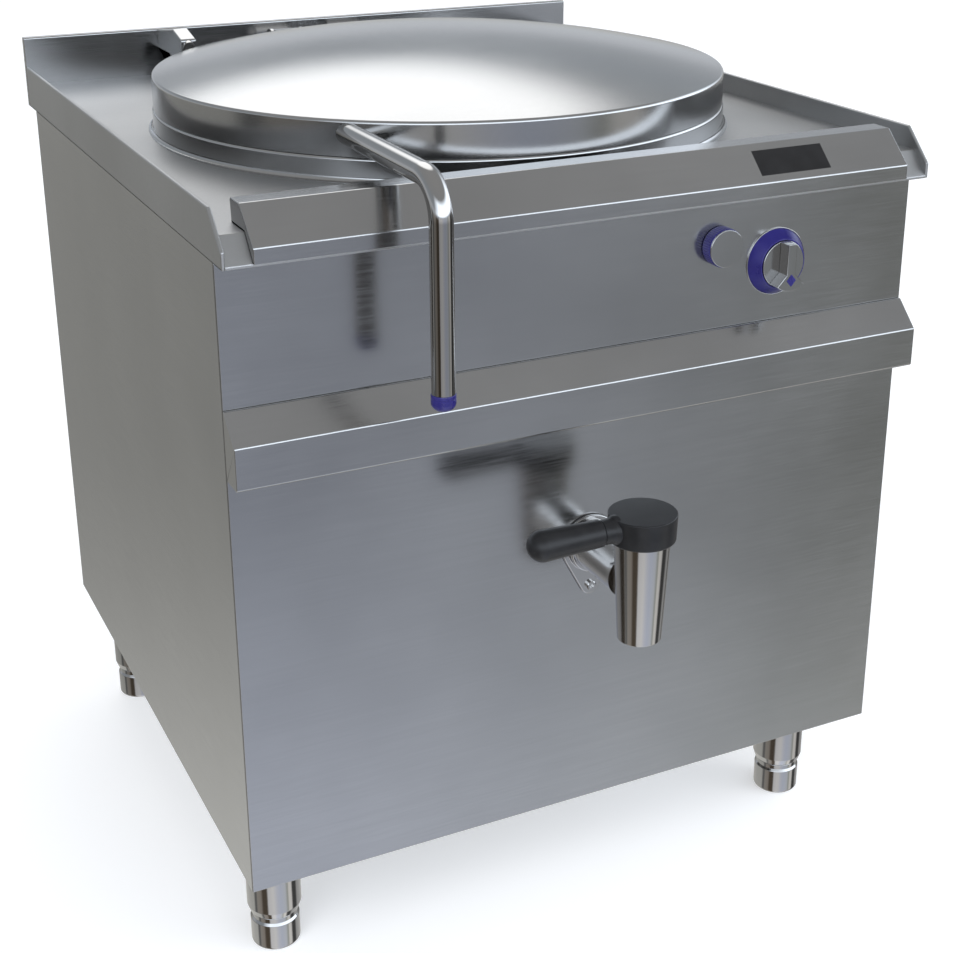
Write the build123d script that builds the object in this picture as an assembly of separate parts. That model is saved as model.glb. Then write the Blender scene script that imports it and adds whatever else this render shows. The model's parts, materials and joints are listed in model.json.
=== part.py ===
from build123d import *
import os
from math import cos, hypot, radians, sin, sqrt

# Steam jacketed kettle: a round, indirectly heated boiling vessel in a square cabinet on four legs,
# with a hinged lid, a drain tap, a water valve and a selector. Millimetres, +Z up, front towards -Y.
# Every piece is drawn with y = 0 on the face of the front panels and z = 0 on the floor. The last
# section moves all of them together, so that the origin lies under the middle of the whole object.

# Cabinet
SIDE_ROOM = 43.7         # lagging to the outside of a side panel
FRONT_ROOM = 27.7        # face of the front panels to the lagging
REAR_ROOM = 43.7         # lagging to the rear edge of the side panels
LEG_H = 145.0            # floor to the underside of the cabinet
CASE_H = 747.0           # underside of the cabinet to the top of the worktop's raised rim
SHEET = 1.5              # cabinet sheet
BEND = 1.0               # inside radius of a fold
REAR_SHEET = 1.2         # rear and bottom panels
PANEL_SPLIT = 505.0      # cabinet underside to the joint of the two front panels
FRONT_RETURN = 14.0      # folded edge behind a front panel
SIDE_RETURN = 18.0       # folded edge of a side panel
PLAY = 0.3               # gap beside a piece that lies loose or moves

# Worktop
WORKTOP_SHEET = 1.5
SINK = 23.5              # rim top down to the working surface
RIM_H = 51.7             # height of the outside of the rim
RIM_T = 4.0              # rim wall, a closed hem
RIM_OVER = 1.0           # rim outside the side panel
FRONT_LIP = 28.5         # worktop in front of the front panels
RIM_NOSE_Y = 6.7         # behind the panel face, where the rim starts to slope down
RIM_NOSE_Z = 34.9        # drop of that slope
APRON_Y = 7.5            # in front of the panel face, where the surface starts to slope down
APRON_Z = 25.5           # drop of that slope
BACK_OVER = 31.3         # rear edge of the side panels to the front face of the rear upstand
SPLASH_RISE = 38.1       # rear upstand above the rim
SPLASH_T = 10.0          # folded top of the upstand, front to back
VESSEL_HOLE_GAP = 11.0   # vessel wall to the edge of the worktop's round hole

# Front hood with the display
HOOD_IN = 29.0           # hood's end in from the side
HOOD_SHEET = 1.2
HOOD_FRONT = 30.0        # hood front before the panel face
HOOD_CREASE_DROP = 34.0  # rim top to the lower edge of the slope
HOOD_CREST_Y = 6.0       # upper edge of the slope, behind the panel face
HOOD_BACK_TOP = 34.4
HOOD_BACK_LOW = 32.0
HOOD_LIP = 49.3          # rim top to the hood's lower front edge
WINDOW_IN = 171.0        # middle of the window in from the side
WINDOW_W = 88.0
WINDOW_H = 31.5
WINDOW_T = 2.0
WINDOW_LAP = 3.0         # hidden edge of the window behind the hood
BOARD_T = 1.6
WIRE_SLOT_W = 50.0       # slot for the wires of the display
WIRE_SLOT_Y = 8.0        # behind the panel face
WIRE_SLOT_T = 16.0

# Drip ledge across the front
LEDGE_OUT = 31.1
LEDGE_TOP = 552.6        # cabinet underside to the ledge's upper edge
LEDGE_CREASE = 521.8
LEDGE_LOW = 477.4

# Frame
CHANNEL_H = 40.0
CHANNEL_W = 25.0
CHANNEL_T = 2.0
TOP_CHANNEL_H = 24.0
POST = 30.0              # corner angle
POST_Y = 22.0            # front posts behind the panel face
LEG_PLATE_T = 4.0
LEG_PLATE_X = 105.0
LEG_PLATE_Y = 128.0

# Air slots
REAR_SLOT_W = 56.0
REAR_SLOT_H = 8.0
REAR_SLOT_PITCH = 80.0
REAR_SLOT_Z = (615.0, 645.0)    # cabinet underside to each row
LOW_SLOT_W = 90.0
LOW_SLOT_H = 10.0
LOW_SLOT_PITCH = 110.0
LOW_SLOT_Y = (-180.0, -120.0, 120.0, 180.0)    # rows from the middle of the kettle

# Legs and feet
LEG_INSET_X = 52.9       # leg axis in from the side
LEG_FRONT_Y = 99.3
LEG_REAR_IN = 79.2       # rear leg's axis in from the rear edge of the side panels
LEG_R = 31.0
LEG_WALL = 2.0
LEG_CONE_H = 8.0
LEG_CONE_R = 28.5        # lower edge of the leg's cone
FOOT_R = 28.0
FOOT_H = 36.0
FOOT_EDGE = 4.0
FOOT_BAND_R = 26.0
FOOT_GAP = 44.0          # floor to the lower edge of the leg tube
STEM_R = 20.0
STEM_TOP = 112.0
LEG_NUT_H = 34.0
STUD_R = 6.0
STUD_H = 22.0
STUD_NUT = 19.0          # across the flats
STUD_NUT_H = 9.0
RUN_FIT = 0.05           # radial clearance of pieces that turn or slide in each other

# Kettle
VESSEL_R = 300.0         # inside
VESSEL_WALL = 2.5
VESSEL_BOTTOM = 365.0    # cabinet underside to the inside of the bottom at the drain
VESSEL_FALL = 22.0       # fall of the bottom towards the drain
VESSEL_KNUCKLE = 55.0
COLLAR_OVER = 1.2        # collar outside the lid
COLLAR_H = 25.5          # working surface to the seat of the lid
COVE = 5.5               # hollow weld between the collar and the worktop
COVE_EDGE = 0.4
JACKET_ROOM = 22.5       # steam room beside the vessel
JACKET_WALL = 3.0
JACKET_TOP = 555.0       # cabinet underside to the jacket's upper ring
JACKET_LOW = 235.0       # cabinet underside to the middle of the jacket's bottom, inside
JACKET_FALL = 16.0
JACKET_KNUCKLE = 40.0
JACKET_FLAT = 60.0       # radius of the flat middle of the jacket's bottom
BOTTOM_BEND = 30.0
LAGGING_T = 28.0
LAGGING_TOP = 570.0

# Drain
DRAIN_Z = 326.0          # cabinet underside to the axis of the drain pipe
DRAIN_R = 24.0
DRAIN_WALL = 2.5
DRAIN_BEND = 34.0
STRAINER_R = 30.0
STRAINER_T = 1.5
STRAINER_HOLE_R = 2.2

# Tap
TAP_Y = 110.0            # tap axis in front of the panel face
TAP_TOP = 378.7          # cabinet underside to the top of the tap body
TAP_LOW = 265.0
TAP_TOP_R = 29.5
TAP_LOW_R = 23.25
TAP_BORE = 18.5
PLUG_R = 20.0
PLUG_LOW = 302.0
PLUG_PORT_R = 15.0
BRANCH_BORE = 17.0
SPINDLE_R = 9.0
SPINDLE_H = 22.0
CAP_R = 36.0
CAP_H = 30.0
NECK_R = 13.0
NECK_END = 49.0          # tap axis to the end of the lever's neck
GRIP_R = 14.2
GRIP_END_R = 16.4
GRIP_END = 131.5         # tap axis to the tip of the lever
FLANGE_R = 34.3
FLANGE_END_R = 11.0
FLANGE_DROP = 49.0       # drain axis down to the flange's screw
FLANGE_T = 4.0
GASKET_T = 1.0
BOSS_R = 30.0
BOSS_T = 4.0
UNION_R = 28.5
UNION_T = 6.0
SCREW_R = 3.0
SCREW_HEAD_R = 5.5
SCREW_HEAD_T = 4.0
SCREW_NUT = 10.0         # across the flats
SCREW_NUT_H = 5.0

# Controls
VALVE_X = 150.5
VALVE_Z = 643.0          # cabinet underside to the axis of the water knob
VALVE_KNOB_R = 21.4
VALVE_KNOB_L = 15.0      # panel face to the disc on the knob
VALVE_KNOB_WEB = 4.0
VALVE_DISC_R = 20.4
VALVE_DISC_T = 2.0
VALVE_BODY_R = 17.0
VALVE_NECK_R = 11.0
VALVE_SPINDLE_R = 5.0
SELECT_X = 225.0
SELECT_Z = 616.0
SELECT_RING_R = 36.5
SELECT_RING_T = 14.0
SELECT_RING_WALL = 1.2   # wall of the blue ring at its front edge
SELECT_RING_EDGE = 1.0
SELECT_KNOB_R = 26.2
SELECT_KNOB_T = 15.5
SELECT_BAR_W = 11.0
SELECT_BAR_T = 15.0
SELECT_FLARE_Z = 8.0     # axis down to the place where the bar starts to widen
SELECT_BODY = 36.0
SHAFT_R = 4.0

# Lid
LID_OVER = 35.8          # lid outside the vessel's inside
LID_H = 37.5             # straight side of the lid
LID_RISE = 40.0          # dome above the side
LID_SHEET = 1.2
LID_BEAD = 4.0           # rounded upper edge
DRIP_ROOM = 8.0          # drip edge under the lid to the vessel
DRIP_H = 10.0
HANDLE_X = -214.4
HANDLE_R = 11.5
HANDLE_WALL = 1.5
HANDLE_Z = 772.0         # cabinet underside to the handle's straight run
HANDLE_Y = 96.3          # upright part in front of the panel face
HANDLE_BEND = 38.0
HANDLE_LOW = 570.0
HANDLE_CAP_R = 12.2
HANDLE_CAP_H = 18.0
HANDLE_CAP_DOME = 9.0    # rounded part of the cap
HANDLE_PLUG_R = 9.7
HANDLE_PLUG_H = 14.0

# Lid hinge
HINGE_IN = 37.3          # hinge axis to the rear upstand
HINGE_Z = 763.0          # cabinet underside to the hinge axis
HINGE_X = 53.5
KNUCKLE_R = 16.0
KNUCKLE_W = 37.0
EAR_T = 4.0
EAR_R = 17.0
HINGE_BASE_T = 3.0
HINGE_BASE_FRONT = 18.0  # hinge axis to the front of its foot
HINGE_BASE_REAR = 26.0
HINGE_ROOT = 12.0        # arm welded inside the lid's edge
PIN_R = 7.0
PIN_HALF = 84.0
SPRING_R = 12.5          # to the middle of the wire
SPRING_WIRE = 3.6
SPRING_TURNS = 5
SPRING_HALF = 21.0

# Water supply
VALVE_ARM = 22.0
INLET_R = 10.4
PIPE_R = 7.5
PIPE_WALL = 1.0
PIPE_BEND = 22.0
PIPE_Y = 30.0            # behind the panel face
PIPE_IN = 50.0           # in from the sides
INLET_Z = 75.0           # cabinet underside to the water inlet
INLET_OUT = 24.0
SPOUT_X = -213.0
SPOUT_IN = 80.3          # axis of the spout's pipe to the rear upstand
SPOUT_W = 20.0
SPOUT_WALL = 1.5
SPOUT_REACH = 36.0       # axis of its pipe forward to the nose
SPOUT_RIDGE_Z = 795.0
SPOUT_NOSE_Z = 786.0
SPOUT_DEPTH = 20.0       # section of the spout's beak
SPOUT_FOOT = 17.0        # axis of its pipe to the front of the column
NOZZLE_R = 8.0
NOZZLE_BORE = 5.0
NOZZLE_L = 9.0

# Electrics
SAFETY_ANGLE = 225.0     # place round the vessel, from +X towards the rear
SWITCH_ANGLE = 45.0
BRANCH_R = 9.0
ELEMENT_X = 150.0
ELEMENT_Z = 300.0
ELEMENT_PITCH = 18.0
ELEMENT_R = 4.2
ELEMENT_BEND = 6.5
ELEMENT_PINS = 12.0      # terminal ends in front of the flange
ELEMENT_LEN = 470.0
STUB_R = 32.0
STUB_WALL = 3.0
STUB_Y = 52.0            # face of the element flange's seat
ELEMENT_FLANGE_R = 42.0
ELEMENT_FLANGE_T = 8.0
BRANCH_OUT = 67.0        # jacket to the axis of the safety valve
SAFETY_Z = 500.0
GLAND_IN = 100.0         # in from the side
GLAND_Z = 75.0
GLAND_R = 12.5
GLAND_BORE = 8.0
CONTACTOR_Y = 92.0       # behind the panel face
CONTACTOR_Z = 240.0
CONTACTOR_W = 45.0
CONTACTOR_H = 80.0
CONTACTOR_T = 62.0       # out from the side panel
COIL_T = 12.0            # its narrower front part
COIL_IN = 6.0
TERMINAL_Z = 177.0
TERMINAL_H = 28.0
TERMINAL_T = 18.0
TERMINAL_PITCH = 18.0
TERMINALS = 6

# Places worked out from the sizes above
JACKET_R = VESSEL_R + VESSEL_WALL + JACKET_ROOM
LAGGING_R = JACKET_R + JACKET_WALL + PLAY + LAGGING_T
LID_R = VESSEL_R + LID_OVER
COLLAR_R = LID_R + COLLAR_OVER
DRIP_R = VESSEL_R - DRIP_ROOM
SAFETY_R = JACKET_R + JACKET_WALL + BRANCH_OUT
HALF = LAGGING_R + SIDE_ROOM
KETTLE_Y = FRONT_ROOM + LAGGING_R
DEPTH = KETTLE_Y + LAGGING_R + REAR_ROOM
BACK_Y = DEPTH + BACK_OVER
LEG_REAR_Y = DEPTH - LEG_REAR_IN
HOOD_HALF = HALF - HOOD_IN
WINDOW_X = HALF - WINDOW_IN
PIPE_X = HALF - PIPE_IN
GLAND_X = HALF - GLAND_IN
HINGE_Y = BACK_Y - HINGE_IN
SPOUT_PIPE_Y = BACK_Y - SPOUT_IN
SPOUT_NOSE_Y = SPOUT_PIPE_Y - SPOUT_REACH
SPOUT_RIDGE_Y = SPOUT_PIPE_Y + 2
SPOUT_FOOT_Y = SPOUT_PIPE_Y - SPOUT_FOOT
BASE = LEG_H
RIM_Z = BASE + CASE_H
TOP_Z = RIM_Z - SINK
RIM_LOW = RIM_Z - RIM_H
UNDER_TOP = TOP_Z - WORKTOP_SHEET
SPLIT_Z = BASE + PANEL_SPLIT
SEAT_Z = TOP_Z + COLLAR_H
LID_TOP = SEAT_Z + LID_H
TAP_Z = BASE + DRAIN_Z
TAP_FACE = GASKET_T + FLANGE_T + BOSS_T
FRONT_END = TAP_Y + CAP_R
SHIFT = Pos(0, (FRONT_END - BACK_Y - SPLASH_T) / 2, 0)


# Helpers
def cylinder_y(radius, y0, y1, x=0.0, z=0.0):
    """A cylinder along Y between two places."""
    return Pos(x, (y0 + y1) / 2, z) * Rot(90, 0, 0) * Cylinder(radius, abs(y1 - y0))


def cylinder_x(radius, x0, x1, y=0.0, z=0.0):
    """A cylinder along X between two places."""
    return Pos((x0 + x1) / 2, y, z) * Rot(0, 90, 0) * Cylinder(radius, abs(x1 - x0))


def cylinder_z(radius, z0, z1, x=0.0, y=0.0):
    """A cylinder along Z between two places."""
    return Pos(x, y, (z0 + z1) / 2) * Cylinder(radius, abs(z1 - z0))


def block(x0, x1, y0, y1, z0, z1):
    """A box between two corners."""
    return Pos((x0 + x1) / 2, (y0 + y1) / 2, (z0 + z1) / 2) * Box(x1 - x0, y1 - y0, z1 - z0)


def polygon(points, edge=0.0):
    """A face through the points, with all its corners rounded by edge."""
    face = make_face(Polyline(*points, close=True))
    return fillet(face.vertices(), edge) if edge else face


def sheet(points, thick, bend=BEND):
    """Section of a folded or drawn sheet. Its outside runs through the points, and it is thick to
    the left of that run. bend is the inside radius of the folds, or a list with one for each."""
    line = [Vector(*p) for p in points]
    runs = [(b - a).normalized() for a, b in zip(line, line[1:])]
    left = [Vector(-r.Y, r.X) for r in runs]
    inner = [line[0] + left[0] * thick]
    for a, b, p in zip(left, left[1:], line[1:-1]):
        mid = (a + b).normalized()
        inner.append(p + mid * (thick / mid.dot(b)))
    inner.append(line[-1] + left[-1] * thick)
    turns = [a.cross(b).Z for a, b in zip(runs, runs[1:])]
    bends = bend if isinstance(bend, list) else [bend] * len(turns)
    right_r = [r + thick if t > 0 else r for r, t in zip(bends, turns)]
    left_r = [r if t > 0 else r + thick for r, t in zip(bends, turns)]
    a = FilletPolyline(*line, radius=right_r)
    b = FilletPolyline(*inner[::-1], radius=left_r[::-1])
    return make_face(Curve() + [a, Line(a @ 1, b @ 0), b, Line(b @ 1, a @ 0)])


def along_x(face, half):
    """A (y, z) section drawn out to both sides of x = 0."""
    return extrude(Plane.YZ * face, amount=half, both=True)


def plate_x(face, x0, x1):
    """A (y, z) section drawn out between two places along X."""
    return extrude(Plane.YZ.offset(min(x0, x1)) * face, amount=abs(x1 - x0))


def spun(face, y=KETTLE_Y):
    """A (radius, z) section turned about the upright axis at x = 0 and the given y."""
    return Pos(0, y, 0) * revolve(Plane.XZ * face, Axis.Z)


def pipe(points, radius, wall, bend):
    """A bent tube along straight runs joined by arcs."""
    path = FilletPolyline(*points, radius=bend)
    start = Plane(origin=path @ 0, z_dir=path % 0)
    return sweep(start * (Circle(radius) - Circle(radius - wall)), path=path)


def hex_y(across, y0, y1, x=0.0, z=0.0):
    """A hexagon along Y, such as a nut or a screw's head."""
    prism = extrude(RegularPolygon(across / 2, 6, major_radius=False), amount=abs(y1 - y0))
    return Pos(x, max(y0, y1), z) * Rot(90, 0, 0) * prism


# Frame: two welded rings of channel on corner angles, with a plate over each leg
def channel_ring(z0, height, y0, y1):
    inside = block(-HALF + SHEET + PLAY + CHANNEL_W, HALF - SHEET - PLAY - CHANNEL_W,
                   y0 + CHANNEL_W, y1 - CHANNEL_W, z0 - 1, z0 + height + 1)
    half = HALF - SHEET - PLAY
    outside = block(-half, half, y0, y1, z0, z0 + height)
    hollow = block(-half + CHANNEL_T, half - CHANNEL_T, y0 + CHANNEL_T, y1 - CHANNEL_T,
                   z0 + CHANNEL_T, z0 + height - CHANNEL_T)
    return outside - inside - hollow


def leg_places():
    """Name and axis of each leg."""
    x = HALF - LEG_INSET_X
    return {"front_left": (-x, LEG_FRONT_Y), "front_right": (x, LEG_FRONT_Y),
            "rear_left": (-x, LEG_REAR_Y), "rear_right": (x, LEG_REAR_Y)}


def make_frame():
    half = HALF - SHEET - PLAY
    rear = DEPTH - SHEET - PLAY
    ring_z = BASE + SHEET
    top_z = UNDER_TOP - TOP_CHANNEL_H
    frame = channel_ring(ring_z, CHANNEL_H, SHEET + SHEET + PLAY, rear)
    frame += channel_ring(top_z, TOP_CHANNEL_H, POST_Y, rear)
    for side in (-1, 1):
        for y, way in ((POST_Y, 1), (rear, -1)):
            corner = [(side * half, y), (side * (half - POST), y), (side * half, y + way * POST)]
            angle = block(*sorted((corner[0][0], corner[1][0])), *sorted((y, y + way * CHANNEL_T)),
                          ring_z + CHANNEL_H, top_z)
            angle += block(*sorted((side * half, side * (half - CHANNEL_T))),
                           *sorted((y, corner[2][1])), ring_z + CHANNEL_H, top_z)
            frame += angle
    for x, y in leg_places().values():
        side = 1 if x > 0 else -1
        y0 = POST_Y if y < DEPTH / 2 else rear - LEG_PLATE_Y
        frame += block(*sorted((side * half, side * (half - LEG_PLATE_X))), y0, y0 + LEG_PLATE_Y,
                       BASE, BASE + LEG_PLATE_T)
        frame -= cylinder_z(STUD_R + PLAY, BASE - 1, BASE + LEG_PLATE_T + 1, x, y)
    return frame


# Legs: a tube with a turned-in foot end, a stud and nut through the frame, and a screwed foot
def make_leg(x, y):
    outline = polygon([(STEM_R + RUN_FIT, FOOT_GAP), (LEG_CONE_R, FOOT_GAP),
                       (LEG_R, FOOT_GAP + LEG_CONE_H), (LEG_R, BASE), (0, BASE),
                       (0, BASE - LEG_WALL * 2), (LEG_R - LEG_WALL, BASE - LEG_WALL * 2),
                       (LEG_R - LEG_WALL, FOOT_GAP + LEG_NUT_H),
                       (STEM_R + RUN_FIT, FOOT_GAP + LEG_NUT_H)])
    leg = revolve(Plane.XZ * outline, Axis.Z)
    leg += cylinder_z(STUD_R, BASE, BASE + LEG_PLATE_T + STUD_H)
    return Pos(x, y, 0) * leg


def make_leg_nut(x, y):
    nut = extrude(RegularPolygon(STUD_NUT / 2, 6, major_radius=False) - Circle(STUD_R), amount=STUD_NUT_H)
    return Pos(x, y, BASE + LEG_PLATE_T) * nut


def make_foot(x, y):
    outline = Polyline((0, 0), (FOOT_R - FOOT_EDGE, 0))
    edge = RadiusArc((FOOT_R - FOOT_EDGE, 0), (FOOT_R, FOOT_EDGE), -FOOT_EDGE)
    rest = Polyline((FOOT_R, FOOT_EDGE), (FOOT_R, FOOT_H - 3), (FOOT_BAND_R, FOOT_H),
                    (FOOT_BAND_R, FOOT_GAP - 2), (STEM_R, FOOT_GAP - 1), (STEM_R, STEM_TOP - 2),
                    (STEM_R - 2, STEM_TOP), (0, STEM_TOP), (0, 0))
    return Pos(x, y, 0) * revolve(Plane.XZ * make_face(Curve() + [outline, edge, rest]), Axis.Z)


# Cabinet panels
def trimmed(panel, z0, z1):
    """A front panel with its folded edges cut back beside the side panels."""
    for side in (-1, 1):
        x = sorted((side * (HALF - SIDE_RETURN - PLAY), side * (HALF + 1)))
        panel -= block(*x, SHEET, POST_Y, z0 - 1, z1 + 1)
    return panel


def make_control_panel():
    section = sheet([(FRONT_RETURN, RIM_LOW), (0, RIM_LOW), (0, SPLIT_Z), (FRONT_RETURN, SPLIT_Z)], SHEET)
    panel = trimmed(along_x(section, HALF), SPLIT_Z, RIM_LOW)
    panel -= cylinder_y(SHAFT_R + 2, -1, SHEET + 1, SELECT_X, BASE + SELECT_Z)
    panel -= cylinder_y(VALVE_NECK_R, -1, SHEET + 1, VALVE_X, BASE + VALVE_Z)
    return panel


def make_lower_panel():
    section = sheet([(FRONT_RETURN, SPLIT_Z), (0, SPLIT_Z), (0, BASE), (FRONT_RETURN, BASE)], SHEET)
    panel = trimmed(along_x(section, HALF), BASE, SPLIT_Z)
    panel -= cylinder_y(DRAIN_R + 2, -1, SHEET + 1, 0, TAP_Z)
    return panel - cylinder_y(SCREW_R + PLAY, -1, SHEET + 1, 0, TAP_Z - FLANGE_DROP)


def make_ledge():
    points = [(0, BASE + LEDGE_TOP), (-LEDGE_OUT, BASE + LEDGE_CREASE), (-LEDGE_OUT, BASE + LEDGE_LOW),
              (0, BASE + LEDGE_LOW)]
    ledge = along_x(sheet(points, SHEET), HALF)
    for x in (-HALF, HALF - SHEET):
        ledge += plate_x(polygon(points), x, x + SHEET)
    return ledge - block(-HALF - 1, HALF + 1, 0, SHEET * 2, BASE + LEDGE_LOW - 1, BASE + LEDGE_TOP + 1)


def make_side_panel(side):
    z0, z1 = BASE, UNDER_TOP
    run = [(HALF - SIDE_RETURN, SHEET), (HALF, SHEET), (HALF, DEPTH), (HALF - SIDE_RETURN, DEPTH)]
    panel = Pos(0, 0, z0) * extrude(sheet(run, SHEET), amount=z1 - z0)
    return panel if side > 0 else mirror(panel, Plane.YZ)


def make_rear_panel():
    panel = block(-HALF + SHEET, HALF - SHEET, DEPTH, DEPTH + REAR_SHEET, BASE + 2, RIM_LOW - PLAY)
    slot = extrude(Plane.XZ.offset(-DEPTH) * SlotOverall(REAR_SLOT_W, REAR_SLOT_H), amount=3 * REAR_SHEET,
                   both=True)
    for step in range(-3, 4):
        for row in REAR_SLOT_Z:
            panel -= Pos(step * REAR_SLOT_PITCH, 0, BASE + row) * slot
    panel -= cylinder_y(PIPE_R + 3 + PLAY, DEPTH - 1, DEPTH + 2, PIPE_X, BASE + INLET_Z)
    panel -= cylinder_y(GLAND_R + PLAY, DEPTH - 1, DEPTH + 2, GLAND_X, BASE + GLAND_Z)
    return panel


def make_bottom_panel():
    z = BASE + SHEET + CHANNEL_H
    half = HALF - SHEET - PLAY
    rear = DEPTH - SHEET - PLAY
    panel = block(-half, half, POST_Y, rear, z, z + REAR_SHEET)
    for side in (-1, 1):
        for y0, y1 in ((POST_Y - 1, POST_Y + POST), (rear - POST, rear + 1)):
            panel -= block(*sorted((side * (half - POST), side * (half + 1))), y0, y1, z - 1, z + 3)
    slot = Pos(0, KETTLE_Y, z - 1) * extrude(SlotOverall(LOW_SLOT_W, LOW_SLOT_H), amount=4)
    for step in range(-2, 3):
        for row in LOW_SLOT_Y:
            panel -= Pos(step * LOW_SLOT_PITCH, row, 0) * slot
    return panel


# Worktop with its raised rims, the rear upstand and the front hood
def make_worktop():
    points = [(BACK_Y, TOP_Z), (-APRON_Y, TOP_Z), (-FRONT_LIP, TOP_Z - APRON_Z), (-FRONT_LIP, RIM_LOW),
              (0, RIM_LOW)]
    top = along_x(sheet(points, WORKTOP_SHEET, 0.2), HALF + RIM_OVER - RIM_T)
    rim = polygon([(-FRONT_LIP, RIM_LOW), (-FRONT_LIP, RIM_Z - RIM_NOSE_Z), (RIM_NOSE_Y, RIM_Z),
                   (BACK_Y, RIM_Z), (BACK_Y, RIM_LOW)])
    for side in (-1, 1):
        outer = side * (HALF + RIM_OVER)
        wall = plate_x(rim, outer, outer - side * RIM_T)
        wall -= block(*sorted((side * (HALF - RIM_T), side * HALF)), 0, BACK_Y + 1, RIM_LOW - 1, UNDER_TOP)
        top += wall
    top -= cylinder_z(VESSEL_R + VESSEL_WALL + VESSEL_HOLE_GAP, UNDER_TOP - 1, TOP_Z + 1, 0, KETTLE_Y)
    top -= cylinder_z(PIPE_R + PLAY, UNDER_TOP - 1, TOP_Z + 1, SPOUT_X, SPOUT_PIPE_Y)
    return top - wire_slot(UNDER_TOP - 1, TOP_Z + 1)


def wire_slot(z0, z1):
    """Opening under the hood for the wires of the display."""
    x0, x1 = WINDOW_X - WIRE_SLOT_W / 2, WINDOW_X + WIRE_SLOT_W / 2
    return block(x0, x1, WIRE_SLOT_Y, WIRE_SLOT_Y + WIRE_SLOT_T, z0, z1)


def make_splashback():
    z = RIM_Z + SPLASH_RISE
    points = [(BACK_Y + SPLASH_T, RIM_LOW), (BACK_Y + SPLASH_T, z), (BACK_Y, z), (BACK_Y, RIM_LOW)]
    splash = along_x(sheet(points, SHEET), HALF + RIM_OVER)
    for x in (-HALF - RIM_OVER, HALF + RIM_OVER - SHEET):
        splash += plate_x(polygon(points), x, x + SHEET)
    return splash


def hood_points():
    return [(HOOD_BACK_LOW, TOP_Z), (HOOD_BACK_TOP, RIM_Z), (HOOD_CREST_Y, RIM_Z),
            (-HOOD_FRONT, RIM_Z - HOOD_CREASE_DROP), (-HOOD_FRONT, RIM_Z - HOOD_LIP),
            (-FRONT_LIP, RIM_Z - HOOD_LIP), (-FRONT_LIP, TOP_Z - APRON_Z), (-APRON_Y, TOP_Z)]


def window_plane():
    """Plane of the hood's slope, with its origin in the middle of the window."""
    run_y, run_z = HOOD_CREST_Y + HOOD_FRONT, HOOD_CREASE_DROP
    size = hypot(run_y, run_z)
    y, z = (HOOD_CREST_Y - HOOD_FRONT) / 2, RIM_Z - HOOD_CREASE_DROP / 2
    return Plane(origin=(WINDOW_X, y, z), x_dir=(1, 0, 0), z_dir=(0, -run_z / size, run_y / size))


def make_hood():
    points = hood_points()
    outer = along_x(polygon(points), HOOD_HALF)
    crease = RIM_Z - HOOD_CREASE_DROP
    crest = [e for e in outer.edges().filter_by(Axis.X)
             if e.center().Z > TOP_Z + 1 or abs(e.center().Z - crease) < 1]
    outer = fillet(crest, BEND + HOOD_SHEET)
    inner = along_x(offset(polygon(points), -HOOD_SHEET, kind=Kind.INTERSECTION), HOOD_HALF - HOOD_SHEET)
    hood = outer - inner
    hood -= window_plane() * Box(WINDOW_W, WINDOW_H, 4 * WINDOW_T)
    return hood - wire_slot(TOP_Z - 1, TOP_Z + 2 * HOOD_SHEET)


def make_window():
    glass = Pos(0, 0, -WINDOW_T / 2) * Box(WINDOW_W - PLAY, WINDOW_H - PLAY, WINDOW_T)
    lap = Pos(0, 0, -(HOOD_SHEET + WINDOW_T) / 2)
    lap *= Box(WINDOW_W + 2 * WINDOW_LAP, WINDOW_H + 2 * WINDOW_LAP, WINDOW_T - HOOD_SHEET)
    return window_plane() * (glass + lap)


def make_display_board():
    board = Pos(0, 0, -WINDOW_T - BOARD_T / 2) * Box(WINDOW_W - 4, WINDOW_H - 6, BOARD_T)
    for step in (-1.5, -0.5, 0.5, 1.5):
        board += Pos(step * WINDOW_W / 4.5, 2, -WINDOW_T - BOARD_T - 0.6) * Box(14, 10, 1.2)
    return window_plane() * board


# Vessel, jacket and lagging
def make_vessel():
    bottom = BASE + VESSEL_BOTTOM
    run = [(COLLAR_R, TOP_Z), (COLLAR_R, SEAT_Z), (VESSEL_R, SEAT_Z),
           (VESSEL_R, bottom + VESSEL_FALL), (DRAIN_R, bottom)]
    wall = sheet(run, VESSEL_WALL, [BEND, BEND, VESSEL_KNUCKLE])
    inside, low = COLLAR_R - VESSEL_WALL / 2, TOP_Z + COVE_EDGE
    square = Polyline((COLLAR_R, low + COVE), (inside, low + COVE), (inside, TOP_Z),
                      (COLLAR_R + COVE, TOP_Z), (COLLAR_R + COVE, low))
    hollow = ThreePointArc((COLLAR_R + COVE, low), (COLLAR_R + COVE * (1 - cos(radians(45))),
                           low + COVE * (1 - sin(radians(45)))), (COLLAR_R, low + COVE))
    weld = spun(make_face(Curve() + [square, hollow]))
    return spun(wall) + weld - cylinder_z(DRAIN_R, bottom - 10, bottom + 10, 0, KETTLE_Y)


def jacket_run():
    """Inside of the jacket as (radius, z), from its upper ring down to the middle of the bottom."""
    low, top = BASE + JACKET_LOW, BASE + JACKET_TOP - JACKET_WALL
    return [(VESSEL_R + VESSEL_WALL, top), (JACKET_R, top), (JACKET_R, low + JACKET_FALL),
            (JACKET_FLAT, low), (0, low)]


def corner_place(radius, angle):
    """Place at a radius and angle about the vessel's axis."""
    return radius * cos(radians(angle)), KETTLE_Y + radius * sin(radians(angle))


def side_tube(radius, r0, r1, angle, z):
    """A cylinder that stands out from the vessel's axis at an angle."""
    tube = Pos((r0 + r1) / 2, 0, z) * Rot(0, 90, 0) * Cylinder(radius, r1 - r0)
    return Pos(0, KETTLE_Y, 0) * Rot(0, 0, angle) * tube


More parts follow.
